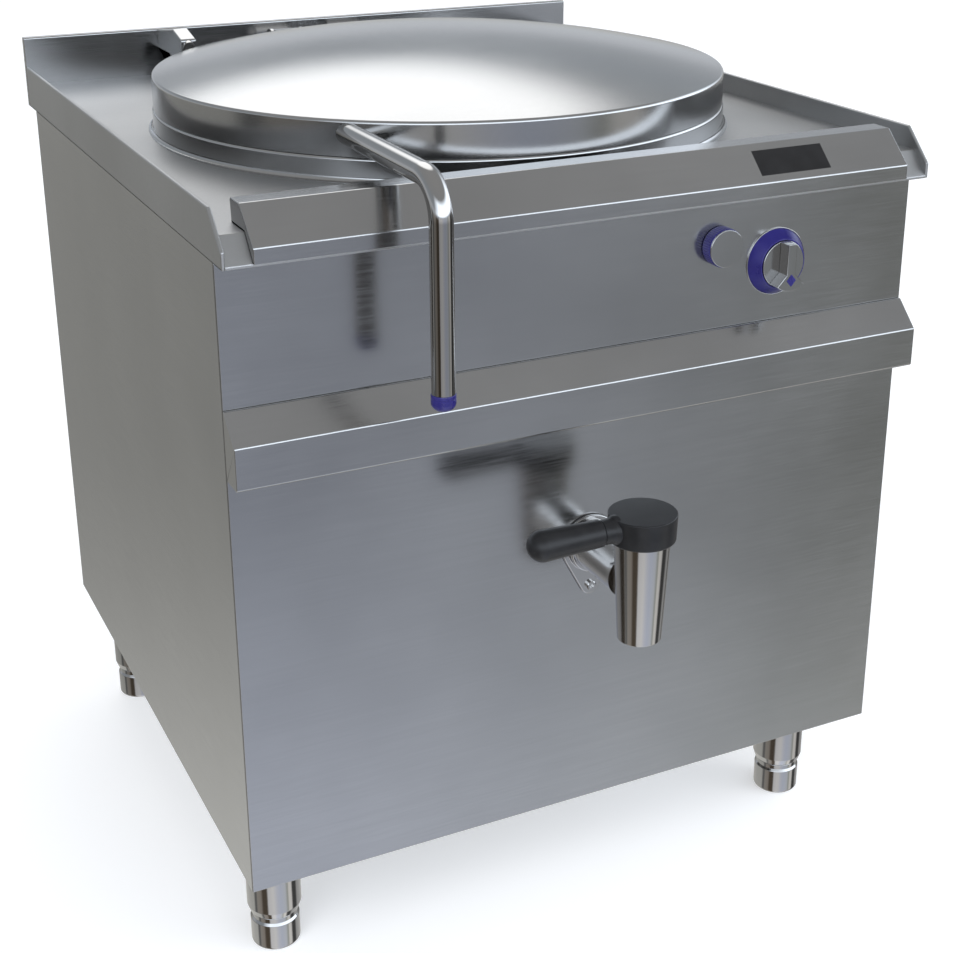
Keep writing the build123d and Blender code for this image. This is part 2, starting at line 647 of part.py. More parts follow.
def make_jacket():
    run = jacket_run()
    shell = spun(sheet(run, JACKET_WALL, [BEND, JACKET_KNUCKLE, BOTTOM_BEND]))
    line = FilletPolyline(*run[1:], radius=[JACKET_KNUCKLE, BOTTOM_BEND])
    room = spun(make_face(Curve() + [line, Line(line @ 1, (0, run[0][1])), Line((0, run[0][1]), run[1])]))
    z = BASE + ELEMENT_Z
    shell += cylinder_y(STUB_R, STUB_Y, KETTLE_Y, ELEMENT_X, z) - room
    shell -= cylinder_y(STUB_R - STUB_WALL, STUB_Y - 1, KETTLE_Y / 2, ELEMENT_X, z)
    for angle in (SAFETY_ANGLE, SWITCH_ANGLE):
        shell += side_tube(BRANCH_R, JACKET_R, SAFETY_R, angle, BASE + SAFETY_Z) - room
        shell -= side_tube(BRANCH_R - 2, JACKET_R - 9, SAFETY_R - 14, angle, BASE + SAFETY_Z)
    return shell - cylinder_y(DRAIN_R, 0, KETTLE_Y / 2, 0, TAP_Z)


def make_lagging():
    gap = JACKET_WALL + PLAY
    low = BASE + JACKET_LOW - gap
    run = [(JACKET_R + gap, BASE + LAGGING_TOP), (JACKET_R + gap, low + JACKET_FALL),
           (JACKET_FLAT, low), (0, low)]
    lagging = spun(sheet(run, LAGGING_T, [JACKET_KNUCKLE + gap, BOTTOM_BEND]))
    lagging -= cylinder_y(DRAIN_R + PLAY, 0, KETTLE_Y / 2, 0, TAP_Z)
    lagging -= cylinder_y(ELEMENT_FLANGE_R + 1, 0, KETTLE_Y / 2, ELEMENT_X, BASE + ELEMENT_Z)
    for angle in (SAFETY_ANGLE, SWITCH_ANGLE):
        lagging -= side_tube(BRANCH_R + PLAY, JACKET_R, SAFETY_R, angle, BASE + SAFETY_Z)
    return lagging


def make_elements():
    z = BASE + ELEMENT_Z
    y0, y1 = STUB_Y - ELEMENT_FLANGE_T, STUB_Y + ELEMENT_LEN
    group = []
    for step in (-1, 0, 1):
        x = ELEMENT_X + step * ELEMENT_PITCH
        half = ELEMENT_PITCH / 2
        path = FilletPolyline((x, y0 - ELEMENT_PINS, z - half), (x, y1, z - half), (x, y1, z + half),
                              (x, y0 - ELEMENT_PINS, z + half), radius=ELEMENT_BEND)
        group.append(sweep(Plane(origin=path @ 0, z_dir=path % 0) * Circle(ELEMENT_R), path=path))
    return group


def make_element_flange():
    z = BASE + ELEMENT_Z
    flange = cylinder_y(ELEMENT_FLANGE_R, STUB_Y - ELEMENT_FLANGE_T, STUB_Y, ELEMENT_X, z)
    for step in (-1, 0, 1):
        for half in (-ELEMENT_PITCH / 2, ELEMENT_PITCH / 2):
            x = ELEMENT_X + step * ELEMENT_PITCH
            flange -= cylinder_y(ELEMENT_R, STUB_Y - 20, STUB_Y + 1, x, z + half)
    return flange


def make_safety_valve():
    x, y = corner_place(SAFETY_R, SAFETY_ANGLE)
    z = BASE + SAFETY_Z
    body = polygon([(0, -16), (11, -16), (14, -10), (14, 12), (11, 16), (11, 44), (8, 50), (5, 50),
                    (5, 56), (9, 60), (9, 66), (0, 68)])
    valve = Pos(x, y, z) * revolve(Plane.XZ * body, Axis.Z)
    return valve - side_tube(BRANCH_R, JACKET_R, SAFETY_R, SAFETY_ANGLE, z)


def make_pressure_switch():
    z = BASE + SAFETY_Z
    x, y = corner_place(SAFETY_R + 14, SWITCH_ANGLE)
    case = Rot(0, 0, SWITCH_ANGLE) * fillet(Box(36, 44, 62).edges().filter_by(Axis.Z), 4)
    case += Rot(0, 0, SWITCH_ANGLE) * Pos(-22, 0, 0) * Rot(0, 90, 0) * Cylinder(13, 10)
    return Pos(x, y, z) * case - side_tube(BRANCH_R, JACKET_R, SAFETY_R, SWITCH_ANGLE, z)


# Drain pipe, strainer and tap
def make_drain_pipe():
    path = FilletPolyline((0, KETTLE_Y, BASE + VESSEL_BOTTOM), (0, KETTLE_Y, TAP_Z), (0, -TAP_FACE, TAP_Z),
                          radius=DRAIN_BEND)
    start = Plane(origin=path @ 0, z_dir=path % 0)
    return sweep(start * (Circle(DRAIN_R) - Circle(DRAIN_R - DRAIN_WALL)), path=path)


def make_strainer():
    z = BASE + VESSEL_BOTTOM + VESSEL_FALL * (STRAINER_R - DRAIN_R) / (VESSEL_R - DRAIN_R)
    plate = cylinder_z(STRAINER_R, z, z + STRAINER_T)
    for radius, count in ((9, 6), (19, 12)):
        for place in PolarLocations(radius, count):
            plate -= place * Pos(0, 0, z) * Cylinder(STRAINER_HOLE_R, 4 * STRAINER_T)
    plate += cylinder_z(3, z, z + 14) + Pos(0, 0, z + 16) * Sphere(5)
    return Pos(0, KETTLE_Y, 0) * plate


def flange_outline():
    """Round plate with one lug below, for the screw."""
    return make_hull((Sketch() + Circle(FLANGE_R) + Pos(0, -FLANGE_DROP) * Circle(FLANGE_END_R)).edges())


def make_gasket():
    gasket = extrude(flange_outline(), amount=GASKET_T) - Cylinder(DRAIN_R, 9)
    return flange_place(0) * (gasket - screw_hole())


def flange_place(y):
    """Place on the front panel, with the sketch's Y upwards, for a plate that grows forwards."""
    return Plane(origin=(0, -y, TAP_Z), x_dir=(1, 0, 0), z_dir=(0, -1, 0))


def screw_hole():
    return Pos(0, -FLANGE_DROP, 0) * Cylinder(SCREW_R + PLAY, 40)


def make_flange():
    plate = extrude(flange_outline(), amount=FLANGE_T) - screw_hole()
    plate += Pos(0, 0, FLANGE_T) * extrude(Circle(BOSS_R), amount=BOSS_T / 2)
    plate += Pos(0, 0, FLANGE_T + BOSS_T / 2) * extrude(Circle(BOSS_R - 3), amount=BOSS_T / 2)
    return flange_place(GASKET_T) * (plate - Cylinder(DRAIN_R, 40))


def make_flange_screw():
    seat = GASKET_T + FLANGE_T
    z = TAP_Z - FLANGE_DROP
    screw = cylinder_y(SCREW_R, -seat, SHEET + 9, 0, z)
    head = cylinder_y(SCREW_HEAD_R, -seat - SCREW_HEAD_T, -seat, 0, z)
    head = chamfer(head.edges().sort_by(Axis.Y)[0], 0.8)
    return screw + head - hex_y(5, -seat - SCREW_HEAD_T - 1, -seat - 1.5, 0, z)


def make_flange_nut():
    nut = hex_y(SCREW_NUT, SHEET, SHEET + SCREW_NUT_H) - cylinder_y(SCREW_R, 0, 20)
    return Pos(0, 0, TAP_Z - FLANGE_DROP) * nut


def make_tap_body():
    low, top = BASE + TAP_LOW, BASE + TAP_TOP
    seat = BASE + PLUG_LOW
    bore = PLUG_R + RUN_FIT
    section = polygon([(TAP_BORE, low), (TAP_LOW_R, low), (TAP_TOP_R, top), (bore, top), (bore, seat),
                       (TAP_BORE, seat)])
    body = spun(section, -TAP_Y)
    branch = cylinder_y(DRAIN_R, -TAP_Y, -TAP_FACE, 0, TAP_Z)
    branch -= cylinder_z(bore + 1, low, top, 0, -TAP_Y)
    body += branch
    body -= cylinder_y(BRANCH_BORE, -TAP_Y, 0, 0, TAP_Z)
    rim = [e for e in body.edges().filter_by(GeomType.CIRCLE) if abs(e.center().Z - low) < 0.01]
    return fillet(rim, 1.0)


def make_tap_union():
    """Round nut that holds the tap's branch against the flange."""
    union = cylinder_y(UNION_R, -TAP_FACE - UNION_T, -TAP_FACE, 0, TAP_Z)
    union = chamfer(union.edges().sort_by(Axis.Y)[0], 0.8)
    return union - cylinder_y(DRAIN_R, -TAP_Y, 0, 0, TAP_Z)


def make_plug():
    z = BASE + PLUG_LOW + 0.1
    plug = cylinder_z(PLUG_R, z, BASE + TAP_TOP - PLAY) + cylinder_z(SPINDLE_R, z, BASE + TAP_TOP + SPINDLE_H)
    plug -= cylinder_z(PLUG_PORT_R, z - 1, TAP_Z)
    plug -= cylinder_x(PLUG_PORT_R, 0, PLUG_R + 1, 0, TAP_Z)
    plug -= Pos(0, 0, TAP_Z) * Sphere(PLUG_PORT_R)
    return Pos(0, -TAP_Y, 0) * plug


def make_cap():
    z = BASE + TAP_TOP + PLAY
    cap = fillet(cylinder_z(CAP_R, z, z + CAP_H).edges().filter_by(GeomType.CIRCLE), 1.5)
    neck = cylinder_x(NECK_R, -NECK_END, 0, 0, z + CAP_H / 2 + 1.5)
    cap += neck
    cap -= cylinder_z(SPINDLE_R, z - 1, BASE + TAP_TOP + SPINDLE_H)
    return Pos(0, -TAP_Y, 0) * cap


def make_grip():
    tip = GRIP_END_R
    line = Polyline((0, NECK_END), (GRIP_R - 1, NECK_END), (GRIP_R, NECK_END + 1.5),
                    (GRIP_END_R, GRIP_END - tip))
    dome = RadiusArc((GRIP_END_R, GRIP_END - tip), (0, GRIP_END), -tip)
    face = make_face(Curve() + [line, dome, Line((0, GRIP_END), (0, NECK_END))])
    grip = Rot(0, -90, 0) * revolve(Plane.XZ * face, Axis.Z)
    return Pos(0, -TAP_Y, BASE + TAP_TOP + PLAY + CAP_H / 2 + 1.5) * grip


# Water valve, selector and pipes
def turned_y(face, x, z):
    """A (radius, depth) section turned about an axis along Y; depth counts forwards."""
    return Pos(x, 0, z) * Rot(90, 0, 0) * revolve(Plane.XZ * face, Axis.Z)


def make_water_knob():
    y0, end = 2 * PLAY, VALVE_KNOB_L
    face = polygon([(VALVE_SPINDLE_R, y0), (VALVE_KNOB_R, y0), (VALVE_KNOB_R, end - 0.6),
                    (VALVE_KNOB_R - 0.6, end), (0, end), (0, end - VALVE_KNOB_WEB),
                    (VALVE_SPINDLE_R, end - VALVE_KNOB_WEB)])
    return turned_y(face, VALVE_X, BASE + VALVE_Z)


def make_water_disc():
    y0 = VALVE_KNOB_L
    face = polygon([(0, y0), (VALVE_DISC_R, y0), (VALVE_DISC_R, y0 + VALVE_DISC_T - 0.6),
                    (VALVE_DISC_R - 0.6, y0 + VALVE_DISC_T), (0, y0 + VALVE_DISC_T)])
    return turned_y(face, VALVE_X, BASE + VALVE_Z)


def make_water_spindle():
    end = VALVE_KNOB_L - VALVE_KNOB_WEB
    return cylinder_y(VALVE_SPINDLE_R, -end, PIPE_Y, VALVE_X, BASE + VALVE_Z)


def make_water_valve():
    z = BASE + VALVE_Z
    valve = cylinder_y(VALVE_BODY_R, SHEET, PIPE_Y + PIPE_R + 8, VALVE_X, z)
    valve += cylinder_y(VALVE_NECK_R, 0, SHEET, VALVE_X, z)
    valve += cylinder_x(PIPE_R + 3, VALVE_X - VALVE_ARM, VALVE_X + VALVE_ARM, PIPE_Y, z)
    for side in (-1, 1):
        x0, x1 = sorted((VALVE_X + side * 8, VALVE_X + side * (VALVE_ARM + 1)))
        valve -= cylinder_x(PIPE_R, x0, x1, PIPE_Y, z)
    return valve - cylinder_y(VALVE_SPINDLE_R + RUN_FIT, -20, PIPE_Y + 0.2, VALVE_X, z)


def make_select_ring():
    bore = SELECT_KNOB_R + PLAY
    face = polygon([(bore, 0), (SELECT_RING_R, 0), (SELECT_RING_R, SELECT_RING_EDGE),
                    (bore + SELECT_RING_WALL, SELECT_RING_T), (bore, SELECT_RING_T)])
    return turned_y(face, SELECT_X, BASE + SELECT_Z)


def make_selector():
    z = BASE + SELECT_Z
    disc = cylinder_y(SELECT_KNOB_R, -SELECT_KNOB_T, -PLAY, SELECT_X, z)
    disc = chamfer(disc.edges().filter_by(GeomType.CIRCLE).sort_by(Axis.Y)[0], 0.8)
    half, far = SELECT_BAR_W / 2, SELECT_KNOB_R + 1
    outline = polygon([(-half, far), (-half, -SELECT_FLARE_Z), (-half - far + SELECT_FLARE_Z, -far),
                       (half + far - SELECT_FLARE_Z, -far), (half, -SELECT_FLARE_Z), (half, far)])
    front = SELECT_KNOB_T + SELECT_BAR_T
    bar = extrude(Plane.XZ.offset(SELECT_KNOB_T) * (outline & Circle(SELECT_KNOB_R)), amount=SELECT_BAR_T)
    bar = chamfer(bar.edges().group_by(Axis.Y)[0], 0.8)
    bar = Pos(SELECT_X, 0, z) * bar
    return disc + bar - cylinder_y(SHAFT_R, 1 - front, 0, SELECT_X, z)


def make_selector_shaft():
    front = SELECT_KNOB_T + SELECT_BAR_T
    return cylinder_y(SHAFT_R, 1 - front, SHEET + 26, SELECT_X, BASE + SELECT_Z)


def make_switch():
    half = SELECT_BODY / 2
    z = BASE + SELECT_Z
    body = block(SELECT_X - half, SELECT_X + half, SHEET, SHEET + 40, z - half, z + half)
    body = fillet(body.edges().filter_by(Axis.Y), 3)
    for x in (-14, 0, 14):
        body += block(SELECT_X + x - 3, SELECT_X + x + 3, SHEET + 40, SHEET + 48, z - 12, z + 12)
    return body - cylinder_y(SHAFT_R + RUN_FIT, -1, SHEET + 26.2, SELECT_X, z)


def make_supply_pipe():
    z0, z1 = BASE + INLET_Z, BASE + VALVE_Z
    return pipe([(PIPE_X, DEPTH + INLET_OUT - 6, z0), (PIPE_X, PIPE_Y, z0), (PIPE_X, PIPE_Y, z1),
                 (VALVE_X + VALVE_ARM - 6, PIPE_Y, z1)], PIPE_R, PIPE_WALL, PIPE_BEND)


def make_filling_pipe():
    z = BASE + VALVE_Z
    return pipe([(VALVE_X - VALVE_ARM + 6, PIPE_Y, z), (-PIPE_X, PIPE_Y, z), (-PIPE_X, SPOUT_PIPE_Y, z),
                 (SPOUT_X, SPOUT_PIPE_Y, z), (SPOUT_X, SPOUT_PIPE_Y, TOP_Z + 12)],
                PIPE_R, PIPE_WALL, PIPE_BEND)


def make_water_inlet():
    y = DEPTH + REAR_SHEET
    z = BASE + INLET_Z
    inlet = cylinder_y(INLET_R, y, DEPTH + INLET_OUT, PIPE_X, z) + hex_y(27, y, y + 7, PIPE_X, z)
    inlet += cylinder_y(PIPE_R + 3, DEPTH - 8, y, PIPE_X, z)
    inlet -= cylinder_y(PIPE_R, DEPTH - 9, DEPTH + INLET_OUT - 6, PIPE_X, z)
    return inlet - cylinder_y(PIPE_R - PIPE_WALL, y, DEPTH + INLET_OUT + 1, PIPE_X, z)


def spout_outline():
    ridge, nose = BASE + SPOUT_RIDGE_Z, BASE + SPOUT_NOSE_Z
    return polygon([(BACK_Y, ridge - SPOUT_DEPTH - 16), (BACK_Y, ridge - 11), (SPOUT_RIDGE_Y, ridge),
                    (SPOUT_NOSE_Y, nose), (SPOUT_NOSE_Y + 3, nose - SPOUT_DEPTH + 3),
                    (SPOUT_FOOT_Y - 4, nose - SPOUT_DEPTH + 3), (SPOUT_FOOT_Y, nose - SPOUT_DEPTH - 6),
                    (SPOUT_FOOT_Y, TOP_Z), (SPOUT_PIPE_Y + 17, TOP_Z),
                    (SPOUT_PIPE_Y + 20, ridge - SPOUT_DEPTH - 16)])


def make_spout():
    x0, x1 = SPOUT_X - SPOUT_W / 2, SPOUT_X + SPOUT_W / 2
    outline = spout_outline()
    spout = plate_x(outline, x0, x1)
    room = offset(outline, -SPOUT_WALL, kind=Kind.INTERSECTION)
    spout -= plate_x(room, x0 + SPOUT_WALL, x1 - SPOUT_WALL)
    spout -= cylinder_z(PIPE_R, TOP_Z - 5, TOP_Z + 12, SPOUT_X, SPOUT_PIPE_Y)
    return spout - nozzle_place() * Cylinder(NOZZLE_R, 2 * NOZZLE_L)


def nozzle_place():
    """Plane in the spout's nose, with its Z along the jet."""
    z = BASE + SPOUT_NOSE_Z - SPOUT_DEPTH / 2 + 1
    return Plane(origin=(SPOUT_X, SPOUT_NOSE_Y + 2, z), x_dir=(1, 0, 0), z_dir=(0, -0.96, -0.28))


def make_nozzle():
    nozzle = extrude(Circle(NOZZLE_R) - Circle(NOZZLE_BORE), amount=NOZZLE_L / 2, both=True)
    return nozzle_place() * nozzle


# Electrics
def make_contactor():
    x = HALF - SHEET
    y0, y1 = CONTACTOR_Y, CONTACTOR_Y + CONTACTOR_W
    z0, z1 = BASE + CONTACTOR_Z, BASE + CONTACTOR_Z + CONTACTOR_H
    body = block(x - CONTACTOR_T, x, y0, y1, z0, z1)
    body = fillet(body.edges().filter_by(Axis.X), 2)
    return body + block(x - CONTACTOR_T - COIL_T, x - CONTACTOR_T, y0 + COIL_IN, y1 - COIL_IN,
                        z0 + 2 * COIL_IN, z1 - 2 * COIL_IN)


def make_terminals():
    x = HALF - SHEET
    z0, z1 = BASE + TERMINAL_Z, BASE + TERMINAL_Z + TERMINAL_H
    rows = block(x - TERMINAL_T, x, CONTACTOR_Y, CONTACTOR_Y + TERMINALS * TERMINAL_PITCH, z0, z1)
    for step in range(TERMINALS):
        y = CONTACTOR_Y + TERMINAL_PITCH * (step + 0.5)
        rows += block(x - TERMINAL_T - 12, x - TERMINAL_T, y - 6, y + 6, z0 + 4, z1 - 4)
        rows -= cylinder_x(3, x - TERMINAL_T - 13, x - TERMINAL_T - 6, y, (z0 + z1) / 2)
    return rows


def make_gland():
    y = DEPTH + REAR_SHEET
    z = BASE + GLAND_Z
    gland = hex_y(33, y, y + 6, GLAND_X, z) + cylinder_y(GLAND_R, DEPTH - 12, y, GLAND_X, z)
    dome = polygon([(0, 6), (GLAND_R + 1.5, 6), (GLAND_R + 1.5, 16), (GLAND_R - 2, 23), (0, 23)])
    gland += Pos(GLAND_X, y, z) * Rot(-90, 0, 0) * revolve(Plane.XZ * dome, Axis.Z)
    gland += hex_y(30, DEPTH - 6, DEPTH, GLAND_X, z)
    return gland - cylinder_y(GLAND_BORE, DEPTH - 20, y + 30, GLAND_X, z)


# Lid with its handle and hinge
def dome_arc(drop):
    """Upper line of the lid from its axis to the bead, lowered by drop."""
    rim = LID_R - LID_BEAD
    radius = (rim ** 2 + LID_RISE ** 2) / (2 * LID_RISE)
    top = LID_TOP + LID_RISE - drop
    mid = rim / 2
    return ThreePointArc((0, top), (mid, top - radius + sqrt(radius ** 2 - mid ** 2)), (rim, LID_TOP - drop))


def bead_arc(radius):
    """Rounded edge between the lid's top and its straight side."""
    x, z = LID_R - LID_BEAD, LID_TOP - LID_BEAD
    return ThreePointArc((x, z + radius), (x + radius * cos(radians(45)), z + radius * sin(radians(45))),
                         (x + radius, z))


def make_lid():
    side = Line((LID_R, LID_TOP - LID_BEAD), (LID_R, SEAT_Z))
    foot = Line((LID_R, SEAT_Z), (LID_R - LID_SHEET, SEAT_Z))
    inner = Line((LID_R - LID_SHEET, SEAT_Z), (LID_R - LID_SHEET, LID_TOP - LID_BEAD))
    middle = Line((0, LID_TOP + LID_RISE - LID_SHEET), (0, LID_TOP + LID_RISE))
    lines = [dome_arc(0), bead_arc(LID_BEAD), side, foot, inner, bead_arc(LID_BEAD - LID_SHEET),
             dome_arc(LID_SHEET), middle]
    return spun(make_face(Curve() + lines))


def make_lid_pan():
    run = [(0, SEAT_Z + 8), (DRIP_R - 20, SEAT_Z + 8), (DRIP_R - 9, SEAT_Z - DRIP_H),
           (DRIP_R, SEAT_Z - DRIP_H), (DRIP_R, SEAT_Z), (LID_R - LID_SHEET, SEAT_Z)]
    return spun(sheet(run, LID_SHEET))


def lid_room():
    return cylinder_z(LID_R, SEAT_Z - 60, LID_TOP + 60, 0, KETTLE_Y)


def make_handle():
    z = BASE + HANDLE_Z
    root = KETTLE_Y - sqrt(LID_R ** 2 - HANDLE_X ** 2) + 15
    tube = pipe([(HANDLE_X, root, z), (HANDLE_X, -HANDLE_Y, z), (HANDLE_X, -HANDLE_Y, BASE + HANDLE_LOW)],
                HANDLE_R, HANDLE_WALL, HANDLE_BEND)
    return tube - lid_room()


def make_handle_cap():
    low = -HANDLE_CAP_H
    edge = low + HANDLE_CAP_DOME
    line = Polyline((0, HANDLE_PLUG_H), (HANDLE_PLUG_R, HANDLE_PLUG_H), (HANDLE_PLUG_R, 0),
                    (HANDLE_CAP_R, 0), (HANDLE_CAP_R, edge))
    radius = (HANDLE_CAP_R ** 2 + HANDLE_CAP_DOME ** 2) / (2 * HANDLE_CAP_DOME)
    mid = HANDLE_CAP_R / 2
    dome = ThreePointArc((HANDLE_CAP_R, edge), (mid, low + radius - sqrt(radius ** 2 - mid ** 2)), (0, low))
    face = make_face(Curve() + [line, dome, Line((0, low), (0, HANDLE_PLUG_H))])
    return Pos(HANDLE_X, -HANDLE_Y, BASE + HANDLE_LOW) * revolve(Plane.XZ * face, Axis.Z)


def hinge_hull(radius, y0, y1, z0, z1):
    """A (y, z) outline round the hinge axis that reaches to a straight foot."""
    z = BASE + HINGE_Z
    foot = Pos((y0 + y1) / 2, (z0 + z1) / 2) * Rectangle(y1 - y0, z1 - z0)
    return make_hull((Sketch() + Pos(HINGE_Y, z) * Circle(radius) + foot).edges())


def make_hinge_arm(side):
    x = side * HINGE_X
    z = BASE + HINGE_Z
    root = KETTLE_Y + sqrt(LID_R ** 2 - (HINGE_X + KNUCKLE_W / 2) ** 2) - HINGE_ROOT
    outline = hinge_hull(KNUCKLE_R, root, root + HINGE_ROOT / 2, SEAT_Z + 4, LID_TOP - 8)
    arm = plate_x(outline, x - KNUCKLE_W / 2, x + KNUCKLE_W / 2) - lid_room()
    return arm - cylinder_x(PIN_R, x - KNUCKLE_W, x + KNUCKLE_W, HINGE_Y, z)


def ear_places(side):
    """Inner and outer X of the two ears beside a knuckle."""
    x = side * HINGE_X
    gap = KNUCKLE_W / 2 + 2 * PLAY
    return [(x - gap - EAR_T, x - gap), (x + gap, x + gap + EAR_T)]


def make_hinge_bracket(side):
    ears = ear_places(side)
    y0, y1 = HINGE_Y - HINGE_BASE_FRONT, HINGE_Y + HINGE_BASE_REAR
    outline = hinge_hull(EAR_R, y0, y1, TOP_Z, TOP_Z + HINGE_BASE_T)
    bracket = block(ears[0][0], ears[1][1], y0, y1, TOP_Z, TOP_Z + HINGE_BASE_T)
    for x0, x1 in ears:
        bracket += plate_x(outline, x0, x1)
    return bracket - cylinder_x(PIN_R + RUN_FIT, ears[0][0] - 1, ears[1][1] + 1, HINGE_Y, BASE + HINGE_Z)


def make_pin():
    z = BASE + HINGE_Z
    pin = cylinder_x(PIN_R, -PIN_HALF, PIN_HALF, HINGE_Y, z)
    outer = HINGE_X + KNUCKLE_W / 2 + 4 * PLAY + EAR_T
    for side in (-1, 1):
        pin += cylinder_x(PIN_R + 3, side * outer, side * (outer + 4), HINGE_Y, z)
    return pin


def make_spring():
    """Torsion spring on the hinge pin: a tail against the upstand and an inner end on the pin."""
    z = BASE + HINGE_Z
    coil = Helix(pitch=2 * SPRING_HALF / SPRING_TURNS, height=2 * SPRING_HALF, radius=SPRING_R)
    wire = sweep(Plane(origin=coil @ 0, z_dir=coil % 0) * Circle(SPRING_WIRE / 2), path=coil,
                 is_frenet=True)
    wire = Pos(-SPRING_HALF, HINGE_Y, z) * Rot(0, 90, 0) * wire
    tail = cylinder_y(SPRING_WIRE / 2, HINGE_Y, BACK_Y - PLAY, -SPRING_HALF, z - SPRING_R)
    hook = cylinder_z(SPRING_WIRE / 2 - 0.1, z - SPRING_R, z - PIN_R - 0.05, SPRING_HALF - 0.2, HINGE_Y - 1)
    return wire + tail + hook


def save(name, shape):
    """Writes one piece, or a group of like pieces, moved to the final origin."""
    solids = [SHIFT * piece for piece in (shape if isinstance(shape, list) else [shape])]
    export_step(solids[0] if len(solids) == 1 else Compound(children=solids), f"parts/{name}.step")


def main():
    os.makedirs("parts", exist_ok=True)
    parts = {
        "frame": make_frame(),
        "control_panel": make_control_panel(),
        "lower_front_panel": make_lower_panel(),
        "drip_ledge": make_ledge(),
        "side_panel_left": make_side_panel(-1),
        "side_panel_right": make_side_panel(1),
        "rear_panel": make_rear_panel(),
        "bottom_panel": make_bottom_panel(),
        "worktop": make_worktop(),
        "splashback": make_splashback(),
        "front_hood": make_hood(),
        "display_window": make_window(),
        "display_board": make_display_board(),
        "inner_vessel": make_vessel(),
        "steam_jacket": make_jacket(),
        "lagging": make_lagging(),
        "heating_elements": make_elements(),
        "element_flange": make_element_flange(),
        "safety_valve": make_safety_valve(),
        "pressure_switch": make_pressure_switch(),
        "drain_pipe": make_drain_pipe(),
        "drain_strainer": make_strainer(),
        "tap_gasket": make_gasket(),
        "tap_flange": make_flange(),
        "flange_screw": make_flange_screw(),
        "tap_body": make_tap_body(),
        "tap_union": make_tap_union(),
        "tap_plug": make_plug(),
        "tap_cap": make_cap(),
        "tap_grip": make_grip(),
        "water_knob": make_water_knob(),
        "water_knob_disc": make_water_disc(),
        "water_spindle": make_water_spindle(),
        "water_valve": make_water_valve(),
        "selector_ring": make_select_ring(),
        "selector_knob": make_selector(),
        "selector_shaft": make_selector_shaft(),
        "selector_switch": make_switch(),
        "supply_pipe": make_supply_pipe(),
        "filling_pipe": make_filling_pipe(),
        "water_inlet": make_water_inlet(),
        "water_spout": make_spout(),
        "spout_nozzle": make_nozzle(),
        "contactor": make_contactor(),
        "terminal_block": make_terminals(),
        "cable_gland": make_gland(),
        "lid_shell": make_lid(),
        "lid_pan": make_lid_pan(),
        "lid_handle": make_handle(),
        "handle_cap": make_handle_cap(),
        "hinge_pin": make_pin(),
        "balance_spring": make_spring(),
    }
    for name, place in leg_places().items():
        parts[f"foot_{name}"] = make_foot(*place)
    places = leg_places().values()
    parts["leg_tubes"] = [make_leg(*place) for place in places]
    parts["nuts"] = [make_leg_nut(*place) for place in places] + [make_flange_nut()]
    parts["hinge_arms"] = [make_hinge_arm(side) for side in (-1, 1)]
    parts["hinge_brackets"] = [make_hinge_bracket(side) for side in (-1, 1)]
    for name, shape in parts.items():
        save(name, shape)


main()
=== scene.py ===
import json
import math

import bmesh
import bpy
import numpy as np
from bpy.props import FloatProperty, FloatVectorProperty, PointerProperty
from bpy.types import Operator, Panel, PropertyGroup
from mathutils import Matrix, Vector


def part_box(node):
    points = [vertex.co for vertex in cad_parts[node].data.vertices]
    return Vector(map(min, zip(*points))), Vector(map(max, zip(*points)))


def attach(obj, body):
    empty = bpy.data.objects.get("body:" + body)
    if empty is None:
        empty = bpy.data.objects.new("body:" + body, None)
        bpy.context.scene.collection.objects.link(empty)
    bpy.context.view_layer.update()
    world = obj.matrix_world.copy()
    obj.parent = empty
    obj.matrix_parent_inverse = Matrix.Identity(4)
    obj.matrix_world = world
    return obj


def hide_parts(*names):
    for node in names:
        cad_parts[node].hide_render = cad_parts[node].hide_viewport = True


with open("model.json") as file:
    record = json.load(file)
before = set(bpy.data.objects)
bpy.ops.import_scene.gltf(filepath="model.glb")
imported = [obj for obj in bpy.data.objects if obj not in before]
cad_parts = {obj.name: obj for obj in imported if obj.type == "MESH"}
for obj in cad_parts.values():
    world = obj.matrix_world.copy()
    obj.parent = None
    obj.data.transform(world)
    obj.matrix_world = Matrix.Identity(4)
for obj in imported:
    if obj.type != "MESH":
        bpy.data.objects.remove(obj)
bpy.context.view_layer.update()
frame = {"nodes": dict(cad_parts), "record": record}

bl_info = {
    "name": "Steam jacketed kettle",
    "version": (1, 0, 0),
    "blender": (4, 5, 0),
    "location": "View3D > Sidebar > Kettle",
    "description": "Finishes and rounded pieces of a free-standing boiling kettle",
    "category": "Object",
}


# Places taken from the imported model
def place(node):
    """Lowest corner, highest corner and middle of a piece's box."""
    low, high = (np.array(v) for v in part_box(node))
    return low, high, (low + high) / 2


def span(node, axis):
    low, high, _ = place(node)
    return float(low[axis]), float(high[axis])


FACE = span("control_panel", 1)[0]      # face of the front panels
LID_MIDDLE = place("lid_shell")[2]
LID_SIDE_TOP = 0.9315                   # where the lid's straight side ends and the dome starts


